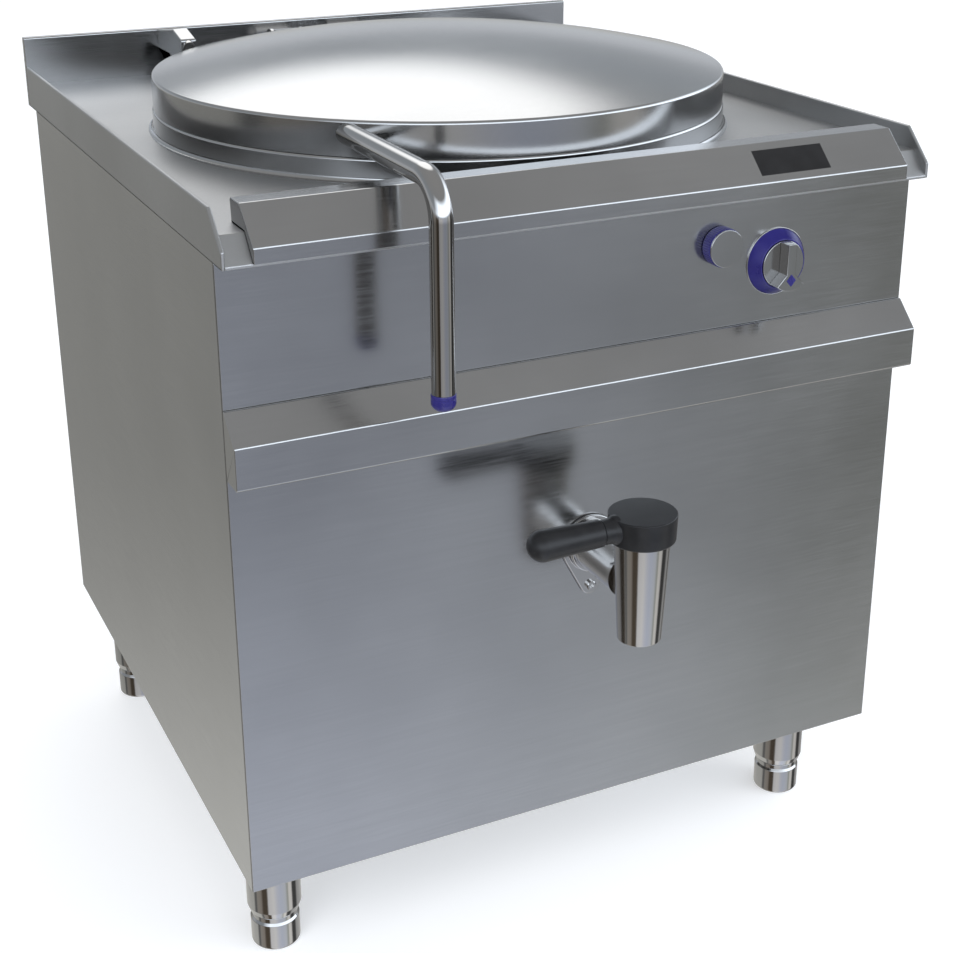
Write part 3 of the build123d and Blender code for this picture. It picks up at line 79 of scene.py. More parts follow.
# Surfaces
def rounded(points, radii, steps=6):
    """A run of straight lines whose corners are arcs: each arc starts and ends at r tan(turn / 2)
    from its corner, and its points lie at equal angles round its centre."""
    points = [np.array(p, float) for p in points]
    radii = radii if isinstance(radii, (list, tuple)) else [radii] * (len(points) - 2)
    out = [points[0][None]]
    for before, here, after, radius in zip(points, points[1:], points[2:], radii):
        a, b = here - before, after - here
        a, b = a / np.linalg.norm(a), b / np.linalg.norm(b)
        turn = math.acos(float(np.clip(a @ b, -1, 1)))
        if radius <= 0 or turn < 1e-4:
            out.append(here[None])
            continue
        side = b - a * (a @ b)
        side /= np.linalg.norm(side)
        start = here - a * radius * math.tan(turn / 2)
        t = np.linspace(0, turn, steps + 1)[:, None]
        out.append(start + a * radius * np.sin(t) + side * radius * (1 - np.cos(t)))
    out.append(points[-1][None])
    return np.concatenate(out)


def rounded_loop(points, radii, steps=6):
    """The same for a closed run: the run starts and ends in the middle of its last side."""
    points = [np.array(p, float) for p in points]
    radii = radii if isinstance(radii, (list, tuple)) else [radii] * len(points)
    middle = (points[0] + points[-1]) / 2
    return rounded([middle] + points + [middle], list(radii), steps)[:-1]


def loft(rings, wrap=True, ends=True, closed=False):
    """Points and faces of a grid: ring i, place j along the ring. Each cell is a quad, the rings
    close on themselves, and flat faces close the first and the last ring. A closed grid joins its
    last ring to its first."""
    rings = np.asarray(rings, float)
    n, m = rings.shape[:2]
    j = np.arange(m if wrap else m - 1)
    i = np.arange(n if closed else n - 1)[:, None]
    k, up = (j + 1) % m, (i + 1) % n
    quads = np.stack([i * m + j, i * m + k, up * m + k, up * m + j], axis=-1).reshape(-1, 4)
    faces = quads.tolist()
    if ends and not closed:
        faces += [list(range(m))[::-1], list(range((n - 1) * m, n * m))]
    return rings.reshape(-1, 3), faces


def turned(profile, centre=(0, 0, 0), axis=2, steps=96, loop=False, ribs=0, depth=0.0):
    """A turned surface: the profile's (radius, height) runs round the axis through the centre,
    (r cos a, r sin a, h). Along another axis the three numbers change places in their order.
    Ribs make the radius r - d (1 - cos(n a)) / 2 where the profile has a third number of 1."""
    profile = np.asarray(profile, float)
    a = np.linspace(0, 2 * np.pi, steps, endpoint=False)
    r, h = profile[:, :1] + np.zeros((1, steps)), profile[:, 1:2] + np.zeros((1, steps))
    if ribs:
        r = r - profile[:, 2:3] * depth * (1 - np.cos(ribs * a)) / 2
    points = np.stack([r * np.cos(a), r * np.sin(a), h], axis=-1)
    points = np.roll(points, axis - 2, axis=-1) + np.asarray(centre, float)
    return loft(points, ends=False, closed=loop)


def inset(section, depth):
    """A closed run moved inwards: each corner p goes to p + d (n1 + n2) / (1 + n1 n2), with the
    inward normals n1 and n2 of its two sides."""
    here = np.asarray(section, float)
    after, before = np.roll(here, -1, 0), np.roll(here, 1, 0)
    area = float(np.sum(here[:, 0] * after[:, 1] - here[:, 1] * after[:, 0]))
    sides = (here - before, after - here)
    u, v = (w / np.maximum(np.linalg.norm(w, axis=1), 1e-12)[:, None] for w in sides)
    n1, n2 = (np.column_stack([-w[:, 1], w[:, 0]]) * np.sign(area) for w in (u, v))
    return here + depth * (n1 + n2) / np.maximum(1 + np.sum(n1 * n2, axis=1), 0.2)[:, None]


def drawn(section, x0, x1, edge=0.0006, axis=0, steps=3, cuts=()):
    """A closed section drawn out along an axis with rounded ends: at r (1 - cos t) from an end the
    section is moved inwards by r (1 - sin t). cuts are further places for a ring."""
    t = np.linspace(0, np.pi / 2, steps + 1)
    into, along = edge * (1 - np.sin(t)), edge * (1 - np.cos(t))
    places = np.concatenate([x0 + along, list(cuts), x1 - along[::-1]])
    depths = np.concatenate([into, np.zeros(len(cuts)), into[::-1]])
    rings = [np.column_stack([np.full(len(section), x), inset(section, d)]) for x, d in zip(places, depths)]
    return loft(np.roll(rings, axis, axis=-1))


def tube(path, radii, steps=48, up=(1, 0, 0)):
    """A round tube: circles of the given radii across a path, cos a times one cross direction plus
    sin a times the other. The cross directions come from the path's direction and a fixed one."""
    path = np.asarray(path, float)
    radii = np.broadcast_to(np.asarray(radii, float), (len(path),))
    along = np.gradient(path, axis=0)
    along /= np.linalg.norm(along, axis=1)[:, None]
    one = np.cross(along, np.asarray(up, float))
    one /= np.linalg.norm(one, axis=1)[:, None]
    two = np.cross(along, one)
    a = np.linspace(0, 2 * np.pi, steps, endpoint=False)
    ring = one[:, None] * np.cos(a)[:, None] + two[:, None] * np.sin(a)[:, None]
    return loft(path[:, None] + ring * radii[:, None, None])


def mm(points):
    """Millimetres as metres. Three numbers are x, y behind the front panels' face and z above the
    floor, and two numbers are y and z."""
    points = np.asarray(points, float) / 1000
    return points + ((0, FACE, 0) if points.shape[-1] == 3 else (FACE, 0))


def piece(name, shapes, slot, body, smooth=35, replaces=()):
    """Joins shapes in one mesh, merges points that coincide, turns the faces outwards, and hangs the
    piece on its body with its finish. Large flat faces keep straight shading beside their rounded
    edges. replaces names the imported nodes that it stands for."""
    shapes = shapes if isinstance(shapes, list) else [shapes]
    points = np.concatenate([p for p, _ in shapes])
    starts = np.cumsum([0] + [len(p) for p, _ in shapes])
    faces = [[v + start for v in face] for start, (_, part) in zip(starts, shapes) for face in part]
    mesh = bpy.data.meshes.new(name)
    mesh.from_pydata(points.tolist(), [], faces)
    work = bmesh.new()
    work.from_mesh(mesh)
    bmesh.ops.remove_doubles(work, verts=work.verts, dist=2e-6)
    bmesh.ops.dissolve_degenerate(work, edges=work.edges, dist=1e-7)
    bmesh.ops.recalc_face_normals(work, faces=work.faces)
    if work.calc_volume(signed=True) < 0:
        bmesh.ops.reverse_faces(work, faces=work.faces)
    work.to_mesh(mesh)
    work.free()
    mesh.polygons.foreach_set("use_smooth", np.ones(len(mesh.polygons), bool))
    mesh.set_sharp_from_angle(angle=math.radians(smooth))
    mesh.materials.append(bpy.data.materials[slot])
    new = bpy.data.objects.new(name, mesh)
    bpy.context.scene.collection.objects.link(new)
    shade = new.modifiers.new("flat faces", "WEIGHTED_NORMAL")
    shade.keep_sharp = True
    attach(new, body)
    if replaces:
        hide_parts(*replaces)
    return new


# Finishes
class Nodes:
    """Short ways to add and join the nodes of one material, or of the world."""

    def __init__(self, name, world=False):
        store = bpy.data.worlds if world else bpy.data.materials
        if name in store:
            store.remove(store[name])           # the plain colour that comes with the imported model
        self.material = store.new(name)
        self.material.use_nodes = True
        self.tree = self.material.node_tree
        self.shader = self.tree.nodes["Background" if world else "Principled BSDF"]
        self.place = self.add("ShaderNodeTexCoord").outputs["Generated" if world else "Object"]

    def add(self, kind, inputs=None, **settings):
        node = self.tree.nodes.new(kind)
        for key, value in settings.items():
            setattr(node, key, value)
        for key, value in (inputs or {}).items():
            if isinstance(value, bpy.types.NodeSocket):
                self.tree.links.new(value, node.inputs[key])
            else:
                node.inputs[key].default_value = value
        return node

    def noise(self, scale, stretch=(1, 1, 1), detail=2.0, rough=0.5):
        at = self.add("ShaderNodeMapping", {"Vector": self.place, "Scale": stretch}).outputs[0]
        return self.add("ShaderNodeTexNoise", {"Vector": at, "Scale": scale, "Detail": detail,
                                               "Roughness": rough}).outputs["Fac"]

    def ramp(self, value, low, high, out_low=0.0, out_high=1.0):
        return self.add("ShaderNodeMapRange", {"Value": value, "From Min": low, "From Max": high,
                                               "To Min": out_low, "To Max": out_high}).outputs[0]

    def math(self, kind, a, b):
        return self.add("ShaderNodeMath", {0: a, 1: b}, operation=kind).outputs[0]

    def stops(self, value, stops):
        """A colour from a value, by straight runs between (place, colour) stops."""
        ramp = self.add("ShaderNodeValToRGB", {"Fac": value})
        elements = ramp.color_ramp.elements
        elements.remove(elements[1])
        elements[0].position, elements[0].color = stops[0][0], (*stops[0][1], 1)
        for at, colour in stops[1:]:
            elements.new(at).color = (*colour, 1)
        return ramp.outputs[0]

    def mix(self, factor, one, two, blend="MIX"):
        node = self.add("ShaderNodeMix", {"Factor": factor}, data_type="RGBA", blend_type=blend)
        for key, value in ((6, one), (7, two)):
            if isinstance(value, bpy.types.NodeSocket):
                self.tree.links.new(value, node.inputs[key])
            else:
                node.inputs[key].default_value = (*value, 1)
        return node.outputs[2]

    def bump(self, height, depth, strength=1.0):
        normal = self.add("ShaderNodeBump", {"Height": height, "Distance": depth, "Strength": strength})
        self.tree.links.new(normal.outputs[0], self.shader.inputs["Normal"])

    def set(self, **values):
        for key, value in values.items():
            socket = self.shader.inputs[key.replace("_", " ")]
            if isinstance(value, bpy.types.NodeSocket):
                self.tree.links.new(value, socket)
            else:
                socket.default_value = (*value, 1) if isinstance(value, tuple) else value
        return self


def steel(name, colour, rough, grain, swing=0.05, depth=2e-5, cloud=0.06):
    """Bare metal: fine scratches along the grain in roughness and bump, and slow clouds of slightly
    darker and rougher metal. grain scales the pattern on X, Y and Z, so a small number stretches it."""
    n = Nodes(name)
    scratch = n.noise(900, grain, 3, 0.65)
    broad = n.noise(160, grain, 2, 0.6)
    clouds = n.noise(3.5, (1, 1, 1), 3, 0.55)
    dark = tuple(c * (1 - 2 * cloud) for c in colour)
    light = tuple(min(1, c * (1 + cloud)) for c in colour)
    tint = n.mix(n.ramp(clouds, 0.3, 0.7), dark, light)
    tint = n.mix(n.ramp(broad, 0.35, 0.65, 0, 0.2), tint, tuple(c * 0.9 for c in colour))
    roughness = n.math("ADD", n.ramp(scratch, 0.3, 0.7, rough - swing, rough + swing),
                       n.ramp(clouds, 0.3, 0.7, -swing * 0.6, swing * 0.6))
    n.bump(n.math("ADD", scratch, n.math("MULTIPLY", broad, 0.6)), depth)
    n.set(Base_Color=tint, Roughness=roughness, Metallic=1.0)
    return n.material


def plastic(name, colour, rough, depth=4e-5, worn=0.12, specular=0.5):
    """Moulded plastic: a fine even grain in the bump, and faint handling marks in roughness."""
    n = Nodes(name)
    grain = n.noise(1400, (1, 1, 1), 2, 0.6)
    marks = n.noise(45, (1, 1, 1), 4, 0.6)
    tint = n.mix(n.ramp(marks, 0.35, 0.7), colour, tuple(min(1, c * 1.25 + 0.004) for c in colour))
    n.bump(grain, depth)
    n.set(Base_Color=tint, Roughness=n.ramp(marks, 0.3, 0.7, rough - worn / 2, rough + worn / 2))
    n.shader.inputs["Specular IOR Level"].default_value = specular
    return n.material


def wool(name, colour):
    """Mineral wool: matted fibres as two noises stretched across each other."""
    n = Nodes(name)
    one, two = n.noise(120, (1, 1, 9), 4, 0.7), n.noise(120, (9, 9, 1), 4, 0.7)
    fibre = n.math("MAXIMUM", one, two)
    n.bump(fibre, 2e-3)
    n.set(Base_Color=n.mix(n.ramp(fibre, 0.4, 0.8), tuple(c * 0.7 for c in colour), colour), Roughness=0.95)
    return n.material


class KettleFinishes(PropertyGroup):
    sheet: FloatVectorProperty(name="Satin sheet", description="Colour of the cabinet's stainless sheet",
                               subtype="COLOR", min=0, max=1, default=(0.42, 0.42, 0.42))
    polished: FloatVectorProperty(name="Polished steel", description="Colour of the bright turned pieces",
                                  subtype="COLOR", min=0, max=1, default=(0.44, 0.435, 0.43))
    blue: FloatVectorProperty(name="Blue plastic", subtype="COLOR", min=0, max=1,
                              description="Colour of the knob rings and the handle's cap",
                              default=(0.015, 0.012, 0.115))
    black: FloatVectorProperty(name="Black plastic", description="Colour of the tap's lever and cap",
                               subtype="COLOR", min=0, max=1, default=(0.01, 0.01, 0.011))
    sheet_rough: FloatProperty(name="Sheet roughness", description="Roughness of the cabinet's sheet",
                               min=0.05, max=0.8, default=0.19)


class KettleSizes(PropertyGroup):
    sheet_edge: FloatProperty(name="Sheet edge", description="Radius of the sheet's folded and cut edges",
                              subtype="DISTANCE", unit="LENGTH", default=0.0014)
    lid_edge: FloatProperty(name="Lid edge", description="Radius of the rounded upper edge of the lid",
                            subtype="DISTANCE", unit="LENGTH", default=0.004)
    dome: FloatProperty(name="Lid rise", description="Height of the dome above the lid's straight side",
                        subtype="DISTANCE", unit="LENGTH", default=span("lid_shell", 2)[1] - LID_SIDE_TOP)


class KETTLE_OT_finishes(Operator):
    """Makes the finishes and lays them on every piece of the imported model"""
    bl_idname = "kettle.finishes"
    bl_label = "Finishes"

    def execute(self, context):
        look = context.scene.kettle_finishes
        sheet, bright = tuple(look.sheet), tuple(look.polished)
        rough = look.sheet_rough
        steel("satin_steel", sheet, rough, (0.02, 1, 1))
        steel("satin_steel_y", sheet, rough, (1, 0.02, 1))
        steel("lid_steel", sheet, rough * 0.8, (1, 1, 1), depth=8e-6)
        steel("polished_steel", bright, 0.1, (1, 1, 0.05), 0.03, 6e-6, 0.03)
        steel("frame_steel", (0.42, 0.43, 0.44), 0.42, (1, 1, 1), 0.08, 3e-5, 0.15)
        steel("top_steel", sheet, 0.4, (1, 1, 1), depth=3e-6)
        steel("turned_steel", sheet, 0.15, (1, 1, 1), depth=4e-6)
        steel("spring_steel", (0.3, 0.3, 0.31), 0.3, (1, 1, 1))
        steel("brass", (0.62, 0.46, 0.2), 0.28, (1, 1, 1))
        plastic("blue_plastic", tuple(look.blue), 0.3)
        plastic("black_plastic", tuple(look.black), 0.36, specular=0.3)
        plastic("grey_plastic", (0.3, 0.31, 0.32), 0.5)
        plastic("board_green", (0.02, 0.16, 0.06), 0.45)
        plastic("gasket_rubber", (0.03, 0.03, 0.03), 0.7)
        plastic("black_glass", (0.006, 0.006, 0.007), 0.12, 2e-6, 0.04)
        wool("lagging_wool", (0.62, 0.52, 0.26))
        slots = {s["node"]: s["material_slot"] for s in frame["record"]["subparts"]}
        along_y = {"side_panel_left", "side_panel_right"}
        for name, node in frame["nodes"].items():
            finish = slots[name]
            if name in along_y:
                finish = "satin_steel_y"
            if name.startswith("lid_"):
                finish = "polished_steel" if name == "lid_handle" else "lid_steel"
            node.data.materials.clear()
            node.data.materials.append(bpy.data.materials[finish])
        return {"FINISHED"}


class KETTLE_OT_cabinet(Operator):
    """Folds the cabinet's panels, the drip ledge and the rear upstand with rounded edges"""
    bl_idname = "kettle.cabinet"
    bl_label = "Cabinet"

    def execute(self, context):
        edge = context.scene.kettle_sizes.sheet_edge
        half, low, high = 400, 145, 867
        fold = np.array([(382, 1.5), (half, 1.5), (half, 784), (382, 784), (382, 782.5), (398.5, 782.5),
                         (398.5, 3), (382, 3)]) / 1000 + (0, FACE)
        fold = rounded_loop(fold, [0.0004, 0.0025, 0.0025, 0.0004, 0.0004, 0.001, 0.001, 0.0004])
        for name, way in (("left", -1), ("right", 1)):
            shape = drawn(fold * (way, 1), low / 1000, high / 1000, 0.0004, axis=2)
            piece(f"side_{name}_skin", shape, "satin_steel_y", "cabinet", replaces=[f"side_panel_{name}"])
        for name, node, z0, z1 in (("lower_panel_skin", "lower_front_panel", 145, 650),
                                   ("control_panel_skin", "control_panel", 650, 840.3)):
            face = rounded_loop(mm([(0, z0), (1.5, z0), (1.5, z1), (0, z1)]), [edge, 0.0002, 0.0002, edge])
            shapes = [drawn(face, -half / 1000, half / 1000, edge * 0.6)]
            for z in (z0, z1 - 1.5):
                lip = rounded_loop(mm([(1, z), (14, z), (14, z + 1.5), (1, z + 1.5)]), 0.0004)
                shapes.append(drawn(lip, -0.3817, 0.3817, 0.0004))
            piece(name, shapes, "satin_steel", "cabinet", replaces=[node])
        ledge = rounded_loop(mm([(0, 697.6), (-31.1, 666.8), (-31.1, 622.4), (0, 622.4)]),
                             [0.002, 0.0034, 0.0026, 0.0004])
        piece("ledge_skin", drawn(ledge, -0.4, 0.4, 0.0009), "satin_steel", "cabinet",
              replaces=["drip_ledge"])
        upstand = rounded_loop(mm([(815.3, 840.3), (825.3, 840.3), (825.3, 930.1), (815.3, 930.1)]),
                               [0.0005, 0.0005, 0.0025, 0.0025])
        piece("splashback_skin", drawn(upstand, -0.401, 0.401, 0.001), "satin_steel", "cabinet",
              replaces=["splashback"])
        return {"FINISHED"}


class KETTLE_OT_worktop(Operator):
    """Draws the worktop with its round hole, its raised rims and its apron, and the front hood"""
    bl_idname = "kettle.worktop"
    bl_label = "Worktop"

    def execute(self, context):
        edge = context.scene.kettle_sizes.sheet_edge
        half, back, middle, hole, sheet = 0.3972, 0.8153 + FACE, LID_MIDDLE[1], 0.3135, 0.0015
        top = span("water_spout", 2)[0]
        side = np.linspace(-1, 1, 48, endpoint=False)
        one = np.ones(48)
        sides = ((side, -one), (one, side), (-side, one), (-one, -side))
        square = np.concatenate([np.column_stack(p) for p in sides])
        outer = np.column_stack([square[:, 0] * half, (back + FACE) / 2 + square[:, 1] * (back - FACE) / 2])
        ray = outer - (0, middle)
        inner = ray / np.linalg.norm(ray, axis=1)[:, None] * hole + (0, middle)
        rings = [np.column_stack([r, np.full(len(r), z)]) for r, z in
                 ((inner, top), (outer, top), (outer, top - sheet), (inner, top - sheet))]
        apron = rounded_loop(mm([(0, 868.5), (-7.5, 868.5), (-28.5, 843), (-28.5, 840.3), (0, 840.3),
                                 (0, 841.8), (-27, 841.8), (-27, 843.5), (-6.8, 867), (0, 867)]),
                             [0, 0.0026, 0.0024, 0.0006, 0.0002, 0.0002, 0.0002, 0.0004, 0.0004, 0])
        shapes = [loft(rings, closed=True), drawn(apron, -half, half, 0)]
        rim = rounded_loop(mm([(-28.5, 840.3), (-28.5, 857.1), (6.7, 892), (815.3, 892), (815.3, 840.3)]),
                           [0.0008, 0.0025, 0.003, 0.0005, 0.0005])
        for way in (-1, 1):
            x0, x1 = sorted((way * 0.397, way * 0.401))
            shapes.append(drawn(rim, x0, x1, 0.0016, steps=4))
        piece("worktop_skin", shapes, "top_steel", "cabinet", replaces=["worktop"])

        run = np.array([36, 34]) / math.hypot(36, 34) * 15.75
        window = [np.array([-12, 875]) + k * run for k in (1, -1)]
        hood = rounded_loop(mm([(32, 868.5), (34.4, 892), (6, 892), window[0], window[1], (-30, 858),
                                (-30, 842.7), (-28.5, 842.7), (-28.5, 843), (-7.5, 868.5)]),
                            [0.0003, 0.003, 0.0034, 0, 0, 0.0034, 0.0005, 0.0003, 0, 0])
        points, faces = drawn(hood, -0.371, 0.371, edge, cuts=(0.185, 0.273))
        start = int(np.argmin(np.linalg.norm(hood - mm([window[0]]), axis=1)))
        faces.pop(4 * len(hood) + start)        # the face between the cuts is the display's opening
        piece("hood_skin", (points, faces), "satin_steel", "cabinet", replaces=["front_hood"])
        return {"FINISHED"}


class KETTLE_OT_vessel(Operator):
    """Turns the vessel with its collar and the hollow weld round its foot"""
    bl_idname = "kettle.vessel"
    bl_label = "Vessel"

    def execute(self, context):
        t = np.linspace(0, np.pi / 2, 8)
        weld = np.column_stack([342.5 - 5.5 * np.sin(t), 874.4 - 5.5 * np.cos(t)])
        front = rounded([(337, 874.4), (337, 894), (300, 894), (300, 532), (24, 510)], [3.5, 3.5, 55], 10)
        back = rounded([(24, 507.5), (302.5, 529.5), (302.5, 891.5), (334.5, 891.5), (334.5, 868.5)],
                       [57.5, 1, 1], 8)
        profile = np.concatenate([weld, front[1:], back, [(342.5, 868.5)]]) / 1000
        shape = turned(profile, (0, LID_MIDDLE[1], 0), steps=256, loop=True)
        piece("vessel_skin", shape, "lid_steel", "cabinet", replaces=["inner_vessel"])
        return {"FINISHED"}


class KETTLE_OT_lid(Operator):
    """Turns the lid's shell as one smooth surface with a rounded edge, and the pan under it"""
    bl_idname = "kettle.lid"
    bl_label = "Lid"

    def execute(self, context):
        sizes = context.scene.kettle_sizes
        low, high, middle = place("lid_shell")
        radius = (high[0] - low[0]) / 2
        side = high[2] - sizes.dome
        seat, wall, edge = low[2], 0.0012, sizes.lid_edge
        sphere = (radius ** 2 + sizes.dome ** 2) / (2 * sizes.dome)
        r = np.linspace(0, radius - edge, 48)
        dome = np.column_stack([r, side - (sphere - sizes.dome) + np.sqrt(sphere ** 2 - r ** 2)])
        outer = rounded([dome[-1], (radius, side + 0.0004), (radius, seat), (radius - wall, seat)],
                        [edge, 0.0005], 10)
        inner = np.column_stack([r[::-1], dome[::-1, 1] - wall])
        profile = np.concatenate([dome[:-1], outer, [(radius - wall, side - edge)], inner])
        centre = (middle[0], middle[1], 0)
        piece("lid_skin", turned(profile, centre, steps=256), "lid_steel", "lid", replaces=["lid_shell"])
        pan = rounded([(0, 902), (272, 902), (283, 884), (292, 884), (292, 894), (334.4, 894)],
                      [2, 2, 2, 1], 5)
        back = rounded([(334.4, 895.2), (293.2, 895.2), (293.2, 885.2), (284, 885.2), (273, 903.2),
                        (0, 903.2)], [1, 1, 1, 2], 5)
        shape = turned(np.concatenate([pan, back]) / 1000, centre, steps=192)
        piece("lid_pan_skin", shape, "lid_steel", "lid", replaces=["lid_pan"])
        return {"FINISHED"}


class KETTLE_OT_handle(Operator):
    """Bends the lid's tube handle and turns the round cap on its lower end"""
    bl_idname = "kettle.handle"
    bl_label = "Handle"

    def execute(self, context):
        x, front, top, foot = -214.4, -96.3, 917, 715
        path = rounded(mm([(x, 138, top), (x, front, top), (x, front, foot)]), 0.038, 14)
        piece("handle_skin", tube(path, 0.0115, 64), "polished_steel", "lid", replaces=["lid_handle"])
        t = np.linspace(0, np.pi / 2, 12)
        nose = np.column_stack([12.2 * np.cos(t), -9 - 9 * np.sin(t)])
        neck = [(0, 0), (11.2, 0), (11.9, -0.4), (12.2, -1.2), (12.2, -3.4), (11.8, -3.8), (11.8, -4.4),
                (12.2, -4.8)]
        profile = np.concatenate([neck, nose])
        shape = turned(profile / 1000, mm([x, front, foot]), steps=64)
        piece("cap_skin", shape, "blue_plastic", "lid", replaces=["handle_cap"])
        return {"FINISHED"}


class KETTLE_OT_tap(Operator):
    """Turns the drain tap's barrel, branch, rings, cap and lever, and cuts its flange"""
    bl_idname = "kettle.tap"
    bl_label = "Drain tap"

    def execute(self, context):
        axis_z, at = 471, -110
        foot = rounded([(18.5, 410), (23.25, 410), (29.5, 523.7), (20.05, 523.7)], [1.4, 0.6], 6)
        barrel = np.concatenate([foot, [(20.05, 447), (18.5, 447)]]) / 1000
        centre = mm([0, at, 0]) * (1, 1, 0)
        branch = np.array([(17, 86), (24.9, 86), (24.4, 83), (24.1, 80), (24, 77), (24, 9), (17, 9)]) / 1000
        piece("tap_barrel", [turned(barrel, centre, steps=160, loop=True),
                             turned(branch * (1, -1), mm([0, 0, axis_z]), axis=1, loop=True)],
              "polished_steel", "cabinet", replaces=["tap_body"])
        ring = rounded_loop([(24.05, 9), (28.5, 9), (28.5, 15), (24.05, 15)], [0.2, 0.8, 1.4, 0.2], 4)
        piece("union_skin", turned(ring / 1000 * (1, -1), mm([0, 0, axis_z]), axis=1, loop=True),
              "polished_steel", "cabinet", replaces=["tap_union"])

        lean = math.acos((34.3 - 11) / 49)
        big = np.linspace(lean, 2 * np.pi - lean, 72)
        small = np.linspace(-lean, lean, 24)
        outline = np.concatenate([np.column_stack([-34.3 * np.cos(big), 34.3 * np.sin(big)]),
                                  np.column_stack([-49 - 11 * np.cos(small), 11 * np.sin(small)])])
        outline = (outline + (axis_z, 0)) / 1000
        plate = drawn(outline, FACE - 0.005, FACE - 0.001, 0.0012, axis=1, steps=4)
        boss = rounded([(24.05, 5), (30, 5), (30, 7), (27, 7), (27, 9), (24.05, 9)], [0, 0.7, 0.5, 0.7], 4)
        piece("flange_skin", [plate, turned(boss / 1000 * (1, -1), mm([0, 0, axis_z]), axis=1, loop=True)],
              "polished_steel", "cabinet", replaces=["tap_flange"])

        z0, z1 = 524, 554
        cap = rounded([(0, z0), (34.9, z0), (36, z1), (0, z1)], [2.6, 1.3], 8) / 1000
        run = np.array([(-30, 15.5), (-34.6, 15.4), (-36, 14.4), (-38, 13.5), (-41, 13.05), (-45, 13),
                        (-48.4, 13), (-49, 12.4)])
        neck = tube(mm([(x, at, 540.5) for x, _ in run]), run[:, 1] / 1000, up=(0, 0, 1))
        piece("cap_top_skin", [turned(cap, centre, steps=160), neck], "black_plastic", "tap_lever",
              replaces=["tap_cap"])
        t = np.linspace(0, np.pi / 2, 14)
        nose = np.column_stack([-115.1 - 16.4 * np.sin(t), 16.4 * np.cos(t)])
        run = np.concatenate([[(-49.2, 12.6), (-49.5, 13.6), (-50.2, 14.2), (-60, 14.55), (-80, 15.2),
                               (-100, 15.9)], nose[:-1], [(-131.49, 0.3)]])
        grip = tube(mm([(x, at, 540.5) for x, _ in run]), run[:, 1] / 1000, up=(0, 0, 1), steps=64)
        piece("grip_skin", grip, "black_plastic", "tap_lever", replaces=["tap_grip"])
        return {"FINISHED"}


class KETTLE_OT_controls(Operator):
    """Turns the ribbed water knob and the selector's ring, and cuts the selector's bar"""
    bl_idname = "kettle.controls"
    bl_label = "Controls"

    def execute(self, context):
        at = mm([150.5, 0, 788])
        body = np.array([(11.5, -0.6, 0), (20.6, -0.6, 0), (21.2, -1.2, 1), (21.4, -2.2, 1),
                         (21.4, -13.6, 1), (21.1, -14.5, 1), (20.4, -15, 0), (11.5, -15, 0)])
        body = body * (0.001, 0.001, 1)
        knob = turned(body, at, axis=1, steps=400, loop=True, ribs=50, depth=0.0006)
        piece("water_knob_skin", knob, "blue_plastic", "water_control", replaces=["water_knob"])
        face = rounded([(0, -15), (20.4, -15), (20.4, -17), (0, -17)], [0.2, 0.7], 5) / 1000
        piece("water_disc_skin", turned(face, at, axis=1, steps=128), "turned_steel", "water_control",
              replaces=["water_knob_disc"])

        at = mm([225, 0, 761])
        ring = rounded_loop([(26.5, 0), (36.5, 0), (36.5, -1), (27.9, -14), (26.5, -14)],
                            [0.1, 0.1, 0.6, 0.5, 0.3], 4)
        piece("selector_ring_skin", turned(ring / 1000, at, axis=1, steps=160, loop=True), "blue_plastic",
              "cabinet", replaces=["selector_ring"])
        rim = rounded_loop([(36.55, 0), (37.7, 0), (37.7, -1.5), (36.55, -1.5)], [0.1, 0.1, 0.5, 0.4], 4)
        piece("selector_rim", turned(rim / 1000, at, axis=1, steps=160, loop=True), "polished_steel",
              "cabinet")

        disc = rounded([(0, -0.3), (26.2, -0.3), (26.2, -15.5), (0, -15.5)], [0.2, 0.8], 5) / 1000
        half, radius = 5.5, 26.2
        lean = math.asin(half / radius)
        top = np.linspace(np.pi / 2 - lean, np.pi / 2 + lean, 8)
        turn = math.atan2(-19.7, 17.2)              # where the bar's flared foot meets the knob's edge
        low = np.linspace(-np.pi - turn, turn, 24)
        outline = np.concatenate([np.column_stack([radius * np.cos(top), radius * np.sin(top)]),
                                  [(-half, -8)],
                                  np.column_stack([radius * np.cos(low), radius * np.sin(low)]),
                                  [(half, -8)]])
        section = np.column_stack([outline[:, 1] + 761, outline[:, 0] + 225]) / 1000
        bar = drawn(section, FACE - 0.0305, FACE - 0.0154, 0.0008, axis=1)
        piece("selector_knob_skin", [turned(disc, at, axis=1, steps=128), bar], "turned_steel", "selector",
              replaces=["selector_knob"])
        mark = rounded_loop([(754, 225), (747, 231), (740, 225), (747, 219)], 0.6, 3) / 1000
        piece("selector_mark", drawn(mark, FACE - 0.0311, FACE - 0.0304, 0.0003, axis=1), "blue_plastic",
              "selector")
        return {"FINISHED"}


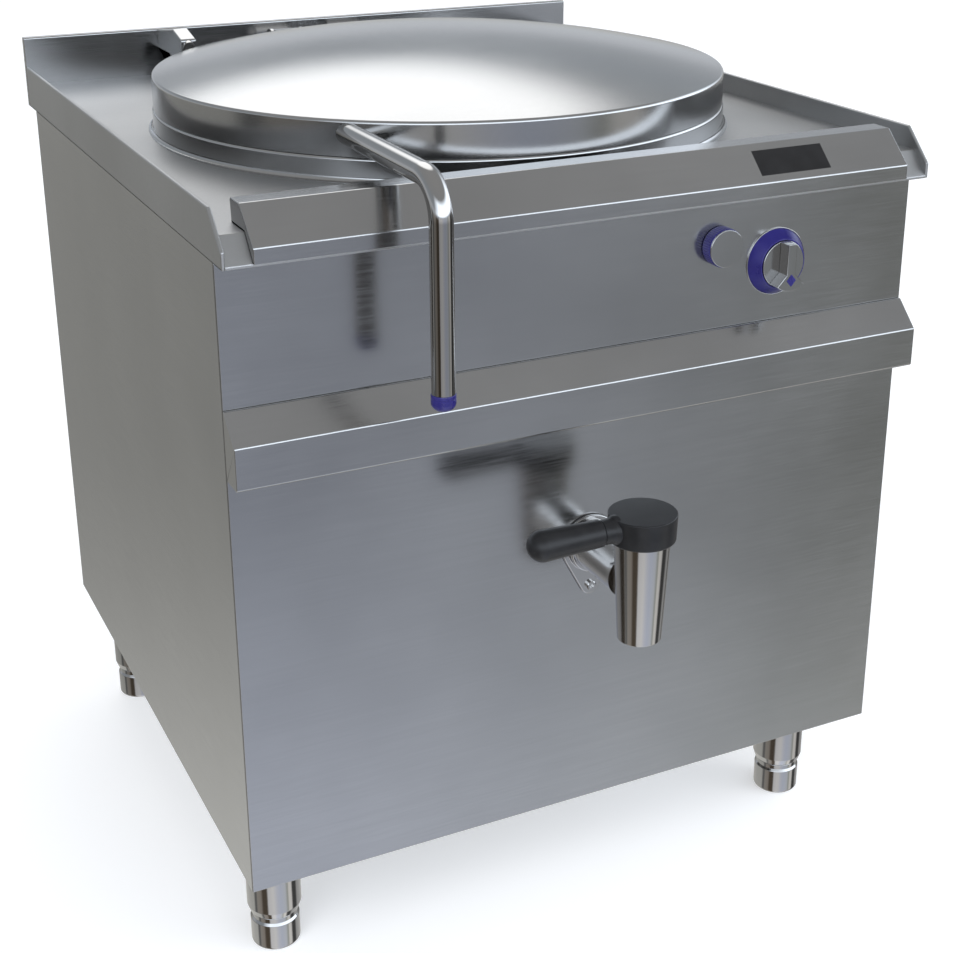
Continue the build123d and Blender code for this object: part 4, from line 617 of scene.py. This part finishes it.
class KETTLE_OT_legs(Operator):
    """Turns the four leg tubes and the screwed feet under them"""
    bl_idname = "kettle.legs"
    bl_label = "Legs and feet"

    def execute(self, context):
        tube_run = rounded([(20.1, 44), (28.5, 44), (31, 52), (31, 145), (0, 145)], [0.8, 2, 0.6], 5)
        inner = np.array([(0, 141), (29, 141), (29, 78), (20.1, 78), (20.1, 44)])
        leg = np.concatenate([tube_run, inner]) / 1000
        foot = np.concatenate([rounded([(0, 0), (28, 0), (28, 33), (26, 36), (26, 42), (20, 43), (20, 112)],
                                       [4, 1.5, 0.6, 1, 0.3], 6), [(18, 114), (0, 114)]]) / 1000
        legs = []
        for name, x, y in (("front_left", -347.1, 99.3), ("front_right", 347.1, 99.3),
                           ("rear_left", -347.1, 704.8), ("rear_right", 347.1, 704.8)):
            centre = mm([x, y, 0])
            legs.append(turned(leg, centre, steps=96))
            body = "foot_" + "".join(word[0] for word in name.split("_"))
            piece(f"{body}_skin", turned(foot, centre, steps=96), "polished_steel", body,
                  replaces=[f"foot_{name}"])
            stud = np.array([(0, 145), (6, 145), (6, 170.5), (5.2, 171), (0, 171)]) / 1000
            legs.append(turned(stud, centre, steps=32))
        piece("legs_skin", legs, "polished_steel", "cabinet", replaces=["leg_tubes"])
        return {"FINISHED"}


class KETTLE_OT_spout(Operator):
    """Draws the folded water spout with rounded edges"""
    bl_idname = "kettle.spout"
    bl_label = "Water spout"

    def execute(self, context):
        side = mm([(815.3, 904), (815.3, 929), (737, 940), (699, 931), (702, 914), (714, 914), (718, 905),
                   (718, 868.5), (752, 868.5), (755, 904)])
        side = rounded_loop(side, [0.0004, 0.002, 0.003, 0.004, 0.002, 0.003, 0.003, 0.0006, 0.0006, 0.006])
        shape = drawn(side, -0.223, -0.203, 0.0016, steps=5)
        piece("spout_skin", shape, "lid_steel", "cabinet", replaces=["water_spout"])
        return {"FINISHED"}


# Studio that the steel mirrors, fitted until the steel has the photo's tones: AROUND goes by degrees
# round the object from the front towards +X, BELOW and ABOVE by the height of the direction under and
# over the horizon. OVER and WINDOW are a pale light in front, by the same degrees and heights
AROUND = ((-180, (0.86, 0.86, 0.82)), (-112, (0.86, 0.86, 0.82)), (-104, (0.25, 0.25, 0.25)),
          (-98, (0.25, 0.25, 0.25)), (-92, (0.55, 0.52, 0.48)), (-74, (0.5, 0.45, 0.4)),
          (-66, (0.16, 0.13, 0.1)), (-48, (0.16, 0.13, 0.1)), (-42, (1.2, 1.2, 1.22)),
          (-20, (1.35, 1.35, 1.35)), (-4, (1.1, 1.15, 1.3)), (9, (1.0, 1.08, 1.28)),
          (19, (1.02, 1.09, 1.26)), (31, (1.04, 1.10, 1.2)), (40, (0.74, 0.77, 0.74)),
          (43, (0.72, 0.74, 0.70)), (48, (1.35, 1.33, 1.28)), (60, (1.3, 1.28, 1.25)),
          (67, (0.12, 0.12, 0.12)), (86, (0.12, 0.12, 0.12)), (94, (0.65, 0.65, 0.65)),
          (180, (0.86, 0.86, 0.82)))
BELOW = ((-1.0, 1.0), (-0.59, 0.82), (-0.52, 0.64), (-0.45, 0.48), (-0.38, 0.40), (-0.2, 0.40),
         (-0.08, 0.62), (0.0, 0.72))
ABOVE = ((0.0, (0.62, 0.66, 0.72)), (0.12, (0.66, 0.69, 0.73)), (0.2, (0.47, 0.50, 0.54)),
         (0.35, (0.42, 0.46, 0.50)), (0.6, (0.44, 0.45, 0.46)), (1.0, (0.47, 0.47, 0.47)))
OVER = ((-180, 0.0), (-75, 0.0), (-40, 1.0), (100, 1.0), (130, 0.0), (180, 0.0))
WINDOW = ((0.0, (0, 0, 0)), (0.03, (0, 0, 0)), (0.09, (2.0, 2.2, 2.45)), (0.45, (2.0, 2.2, 2.45)),
          (0.62, (0, 0, 0)))


class KETTLE_OT_stage(Operator):
    """Sets the camera at the photograph's place, the pale floor and the soft lamps"""
    bl_idname = "kettle.stage"
    bl_label = "Stage"

    def execute(self, context):
        scene = context.scene
        data = bpy.data.cameras.new("camera")
        data.lens, data.sensor_width, data.sensor_fit = 62.58, 36, "HORIZONTAL"
        data.shift_x, data.shift_y, data.clip_end = -0.0196, -0.0976, 100
        camera = bpy.data.objects.new("camera", data)
        right = (0.89825254, -0.43947812, -0.00116302)
        down = (-0.15616233, -0.31670544, -0.93558057)
        ahead = (0.41079885, 0.84056924, -0.35311139)
        turn = Matrix((right, [-v for v in down], [-v for v in ahead])).transposed().to_4x4()
        camera.matrix_world = Matrix.Translation((-0.80698, -1.75877, 1.27143)) @ turn
        scene.collection.objects.link(camera)
        scene.camera = camera
        scene.view_settings.view_transform = "Standard"

        n = Nodes("floor")
        n.tree.nodes.remove(n.shader)
        path = n.add("ShaderNodeLightPath").outputs
        seen = n.math("MAXIMUM", path["Is Camera Ray"], path["Is Transmission Ray"])
        glow = n.math("MULTIPLY", seen, 0.35)
        white = n.add("ShaderNodeEmission", {"Color": (1, 1, 1, 1), "Strength": glow})
        paint = n.add("ShaderNodeBsdfDiffuse", {"Color": (0.8, 0.8, 0.81, 1)})
        total = n.add("ShaderNodeAddShader", {0: paint.outputs[0], 1: white.outputs[0]}).outputs[0]
        n.tree.links.new(total, n.tree.nodes["Material Output"].inputs["Surface"])
        a = np.linspace(0, 2 * np.pi, 64, endpoint=False)
        mesh = bpy.data.meshes.new("floor")
        ring = np.column_stack([40 * np.cos(a), 40 * np.sin(a), np.full(64, -0.0005)])
        mesh.from_pydata(ring.tolist(), [], [list(range(64))])
        mesh.materials.append(n.material)
        floor = bpy.data.objects.new("floor", mesh)
        floor.visible_glossy = False
        scene.collection.objects.link(floor)

        n = Nodes("studio", world=True)
        x, y, z = n.add("ShaderNodeSeparateXYZ", {"Vector": n.place}).outputs
        turn = n.ramp(n.math("ARCTAN2", x, n.math("MULTIPLY", y, -1.0)), -math.pi, math.pi)
        around = n.stops(turn, [((at + 180) / 360, colour) for at, colour in AROUND])
        level = n.stops(n.ramp(z, -1.0, 0.0), [(1 + at, (v, v, v)) for at, v in BELOW])
        below = n.mix(1.0, around, level, "MULTIPLY")
        sky = n.stops(z, ABOVE)
        over = n.stops(turn, [((at + 180) / 360, (v, v, v)) for at, v in OVER])
        sky = n.mix(1.0, sky, n.mix(1.0, over, n.stops(z, WINDOW), "MULTIPLY"), "ADD")
        behind = (0.17, 0.72, 0.673)                # towards the pale light that the lid shows
        facing = n.add("ShaderNodeVectorMath", {0: n.place, 1: behind}, operation="DOT_PRODUCT")
        lobe = {"Value": facing.outputs["Value"], "From Min": 0.905, "From Max": 0.965, "To Max": 1.8}
        glow = n.add("ShaderNodeMapRange", lobe, interpolation_type="SMOOTHSTEP").outputs[0]
        glow = n.add("ShaderNodeCombineColor", {0: glow, 1: glow, 2: glow}).outputs[0]
        sky = n.mix(1.0, sky, glow, "ADD")
        every = n.mix(n.ramp(z, -0.04, 0.04), below, sky)
        camera_ray = n.add("ShaderNodeLightPath").outputs["Is Camera Ray"]
        n.tree.links.new(n.mix(camera_ray, every, (1, 1, 1)), n.shader.inputs["Color"])
        scene.world = n.material

        lamp("lamp_key", (-2.6, -2.4, 3.0), (0, 0, 0.6), (2.0, 2.0), 60)
        lamp("lamp_fill", (2.8, -2.4, 2.4), (0, 0, 0.5), (1.6, 1.8), 25)
        return {"FINISHED"}


def lamp(name, at, towards, size, power):
    """A soft rectangular lamp that faces a point."""
    data = bpy.data.lights.new(name, "AREA")
    data.shape, data.size, data.size_y, data.energy = "RECTANGLE", size[0], size[1], power
    new = bpy.data.objects.new(name, data)
    away = np.array(at, float) - np.array(towards, float)
    away /= np.linalg.norm(away)
    side = np.cross((0, 0, 1), away)
    side /= np.linalg.norm(side)
    turn = Matrix((side, np.cross(away, side), away)).transposed().to_4x4()
    new.matrix_world = Matrix.Translation(at) @ turn
    new.visible_glossy = False
    bpy.context.scene.collection.objects.link(new)
    return new


class KETTLE_PT_panel(Panel):
    """Lists the pieces, with their sizes and colours"""
    bl_idname = "KETTLE_PT_panel"
    bl_label = "Kettle"
    bl_space_type = "VIEW_3D"
    bl_region_type = "UI"
    bl_category = "Kettle"

    def draw(self, context):
        for group in (context.scene.kettle_sizes, context.scene.kettle_finishes):
            for key in group.__annotations__:
                self.layout.prop(group, key)
        for operator in PIECES:
            self.layout.operator(operator.bl_idname)


PIECES = (KETTLE_OT_finishes, KETTLE_OT_cabinet, KETTLE_OT_worktop, KETTLE_OT_vessel, KETTLE_OT_lid,
          KETTLE_OT_handle, KETTLE_OT_tap, KETTLE_OT_controls, KETTLE_OT_legs, KETTLE_OT_spout,
          KETTLE_OT_stage)
CLASSES = (KettleSizes, KettleFinishes, *PIECES, KETTLE_PT_panel)


def register():
    for c in CLASSES:
        bpy.utils.register_class(c)
    bpy.types.Scene.kettle_sizes = PointerProperty(type=KettleSizes)
    bpy.types.Scene.kettle_finishes = PointerProperty(type=KettleFinishes)


def unregister():
    del bpy.types.Scene.kettle_sizes, bpy.types.Scene.kettle_finishes
    for c in reversed(CLASSES):
        bpy.utils.unregister_class(c)


def main():
    register()
    for operator in PIECES:
        group, name = operator.bl_idname.split(".")
        getattr(getattr(bpy.ops, group), name)()


if __name__ == "__main__":
    main()
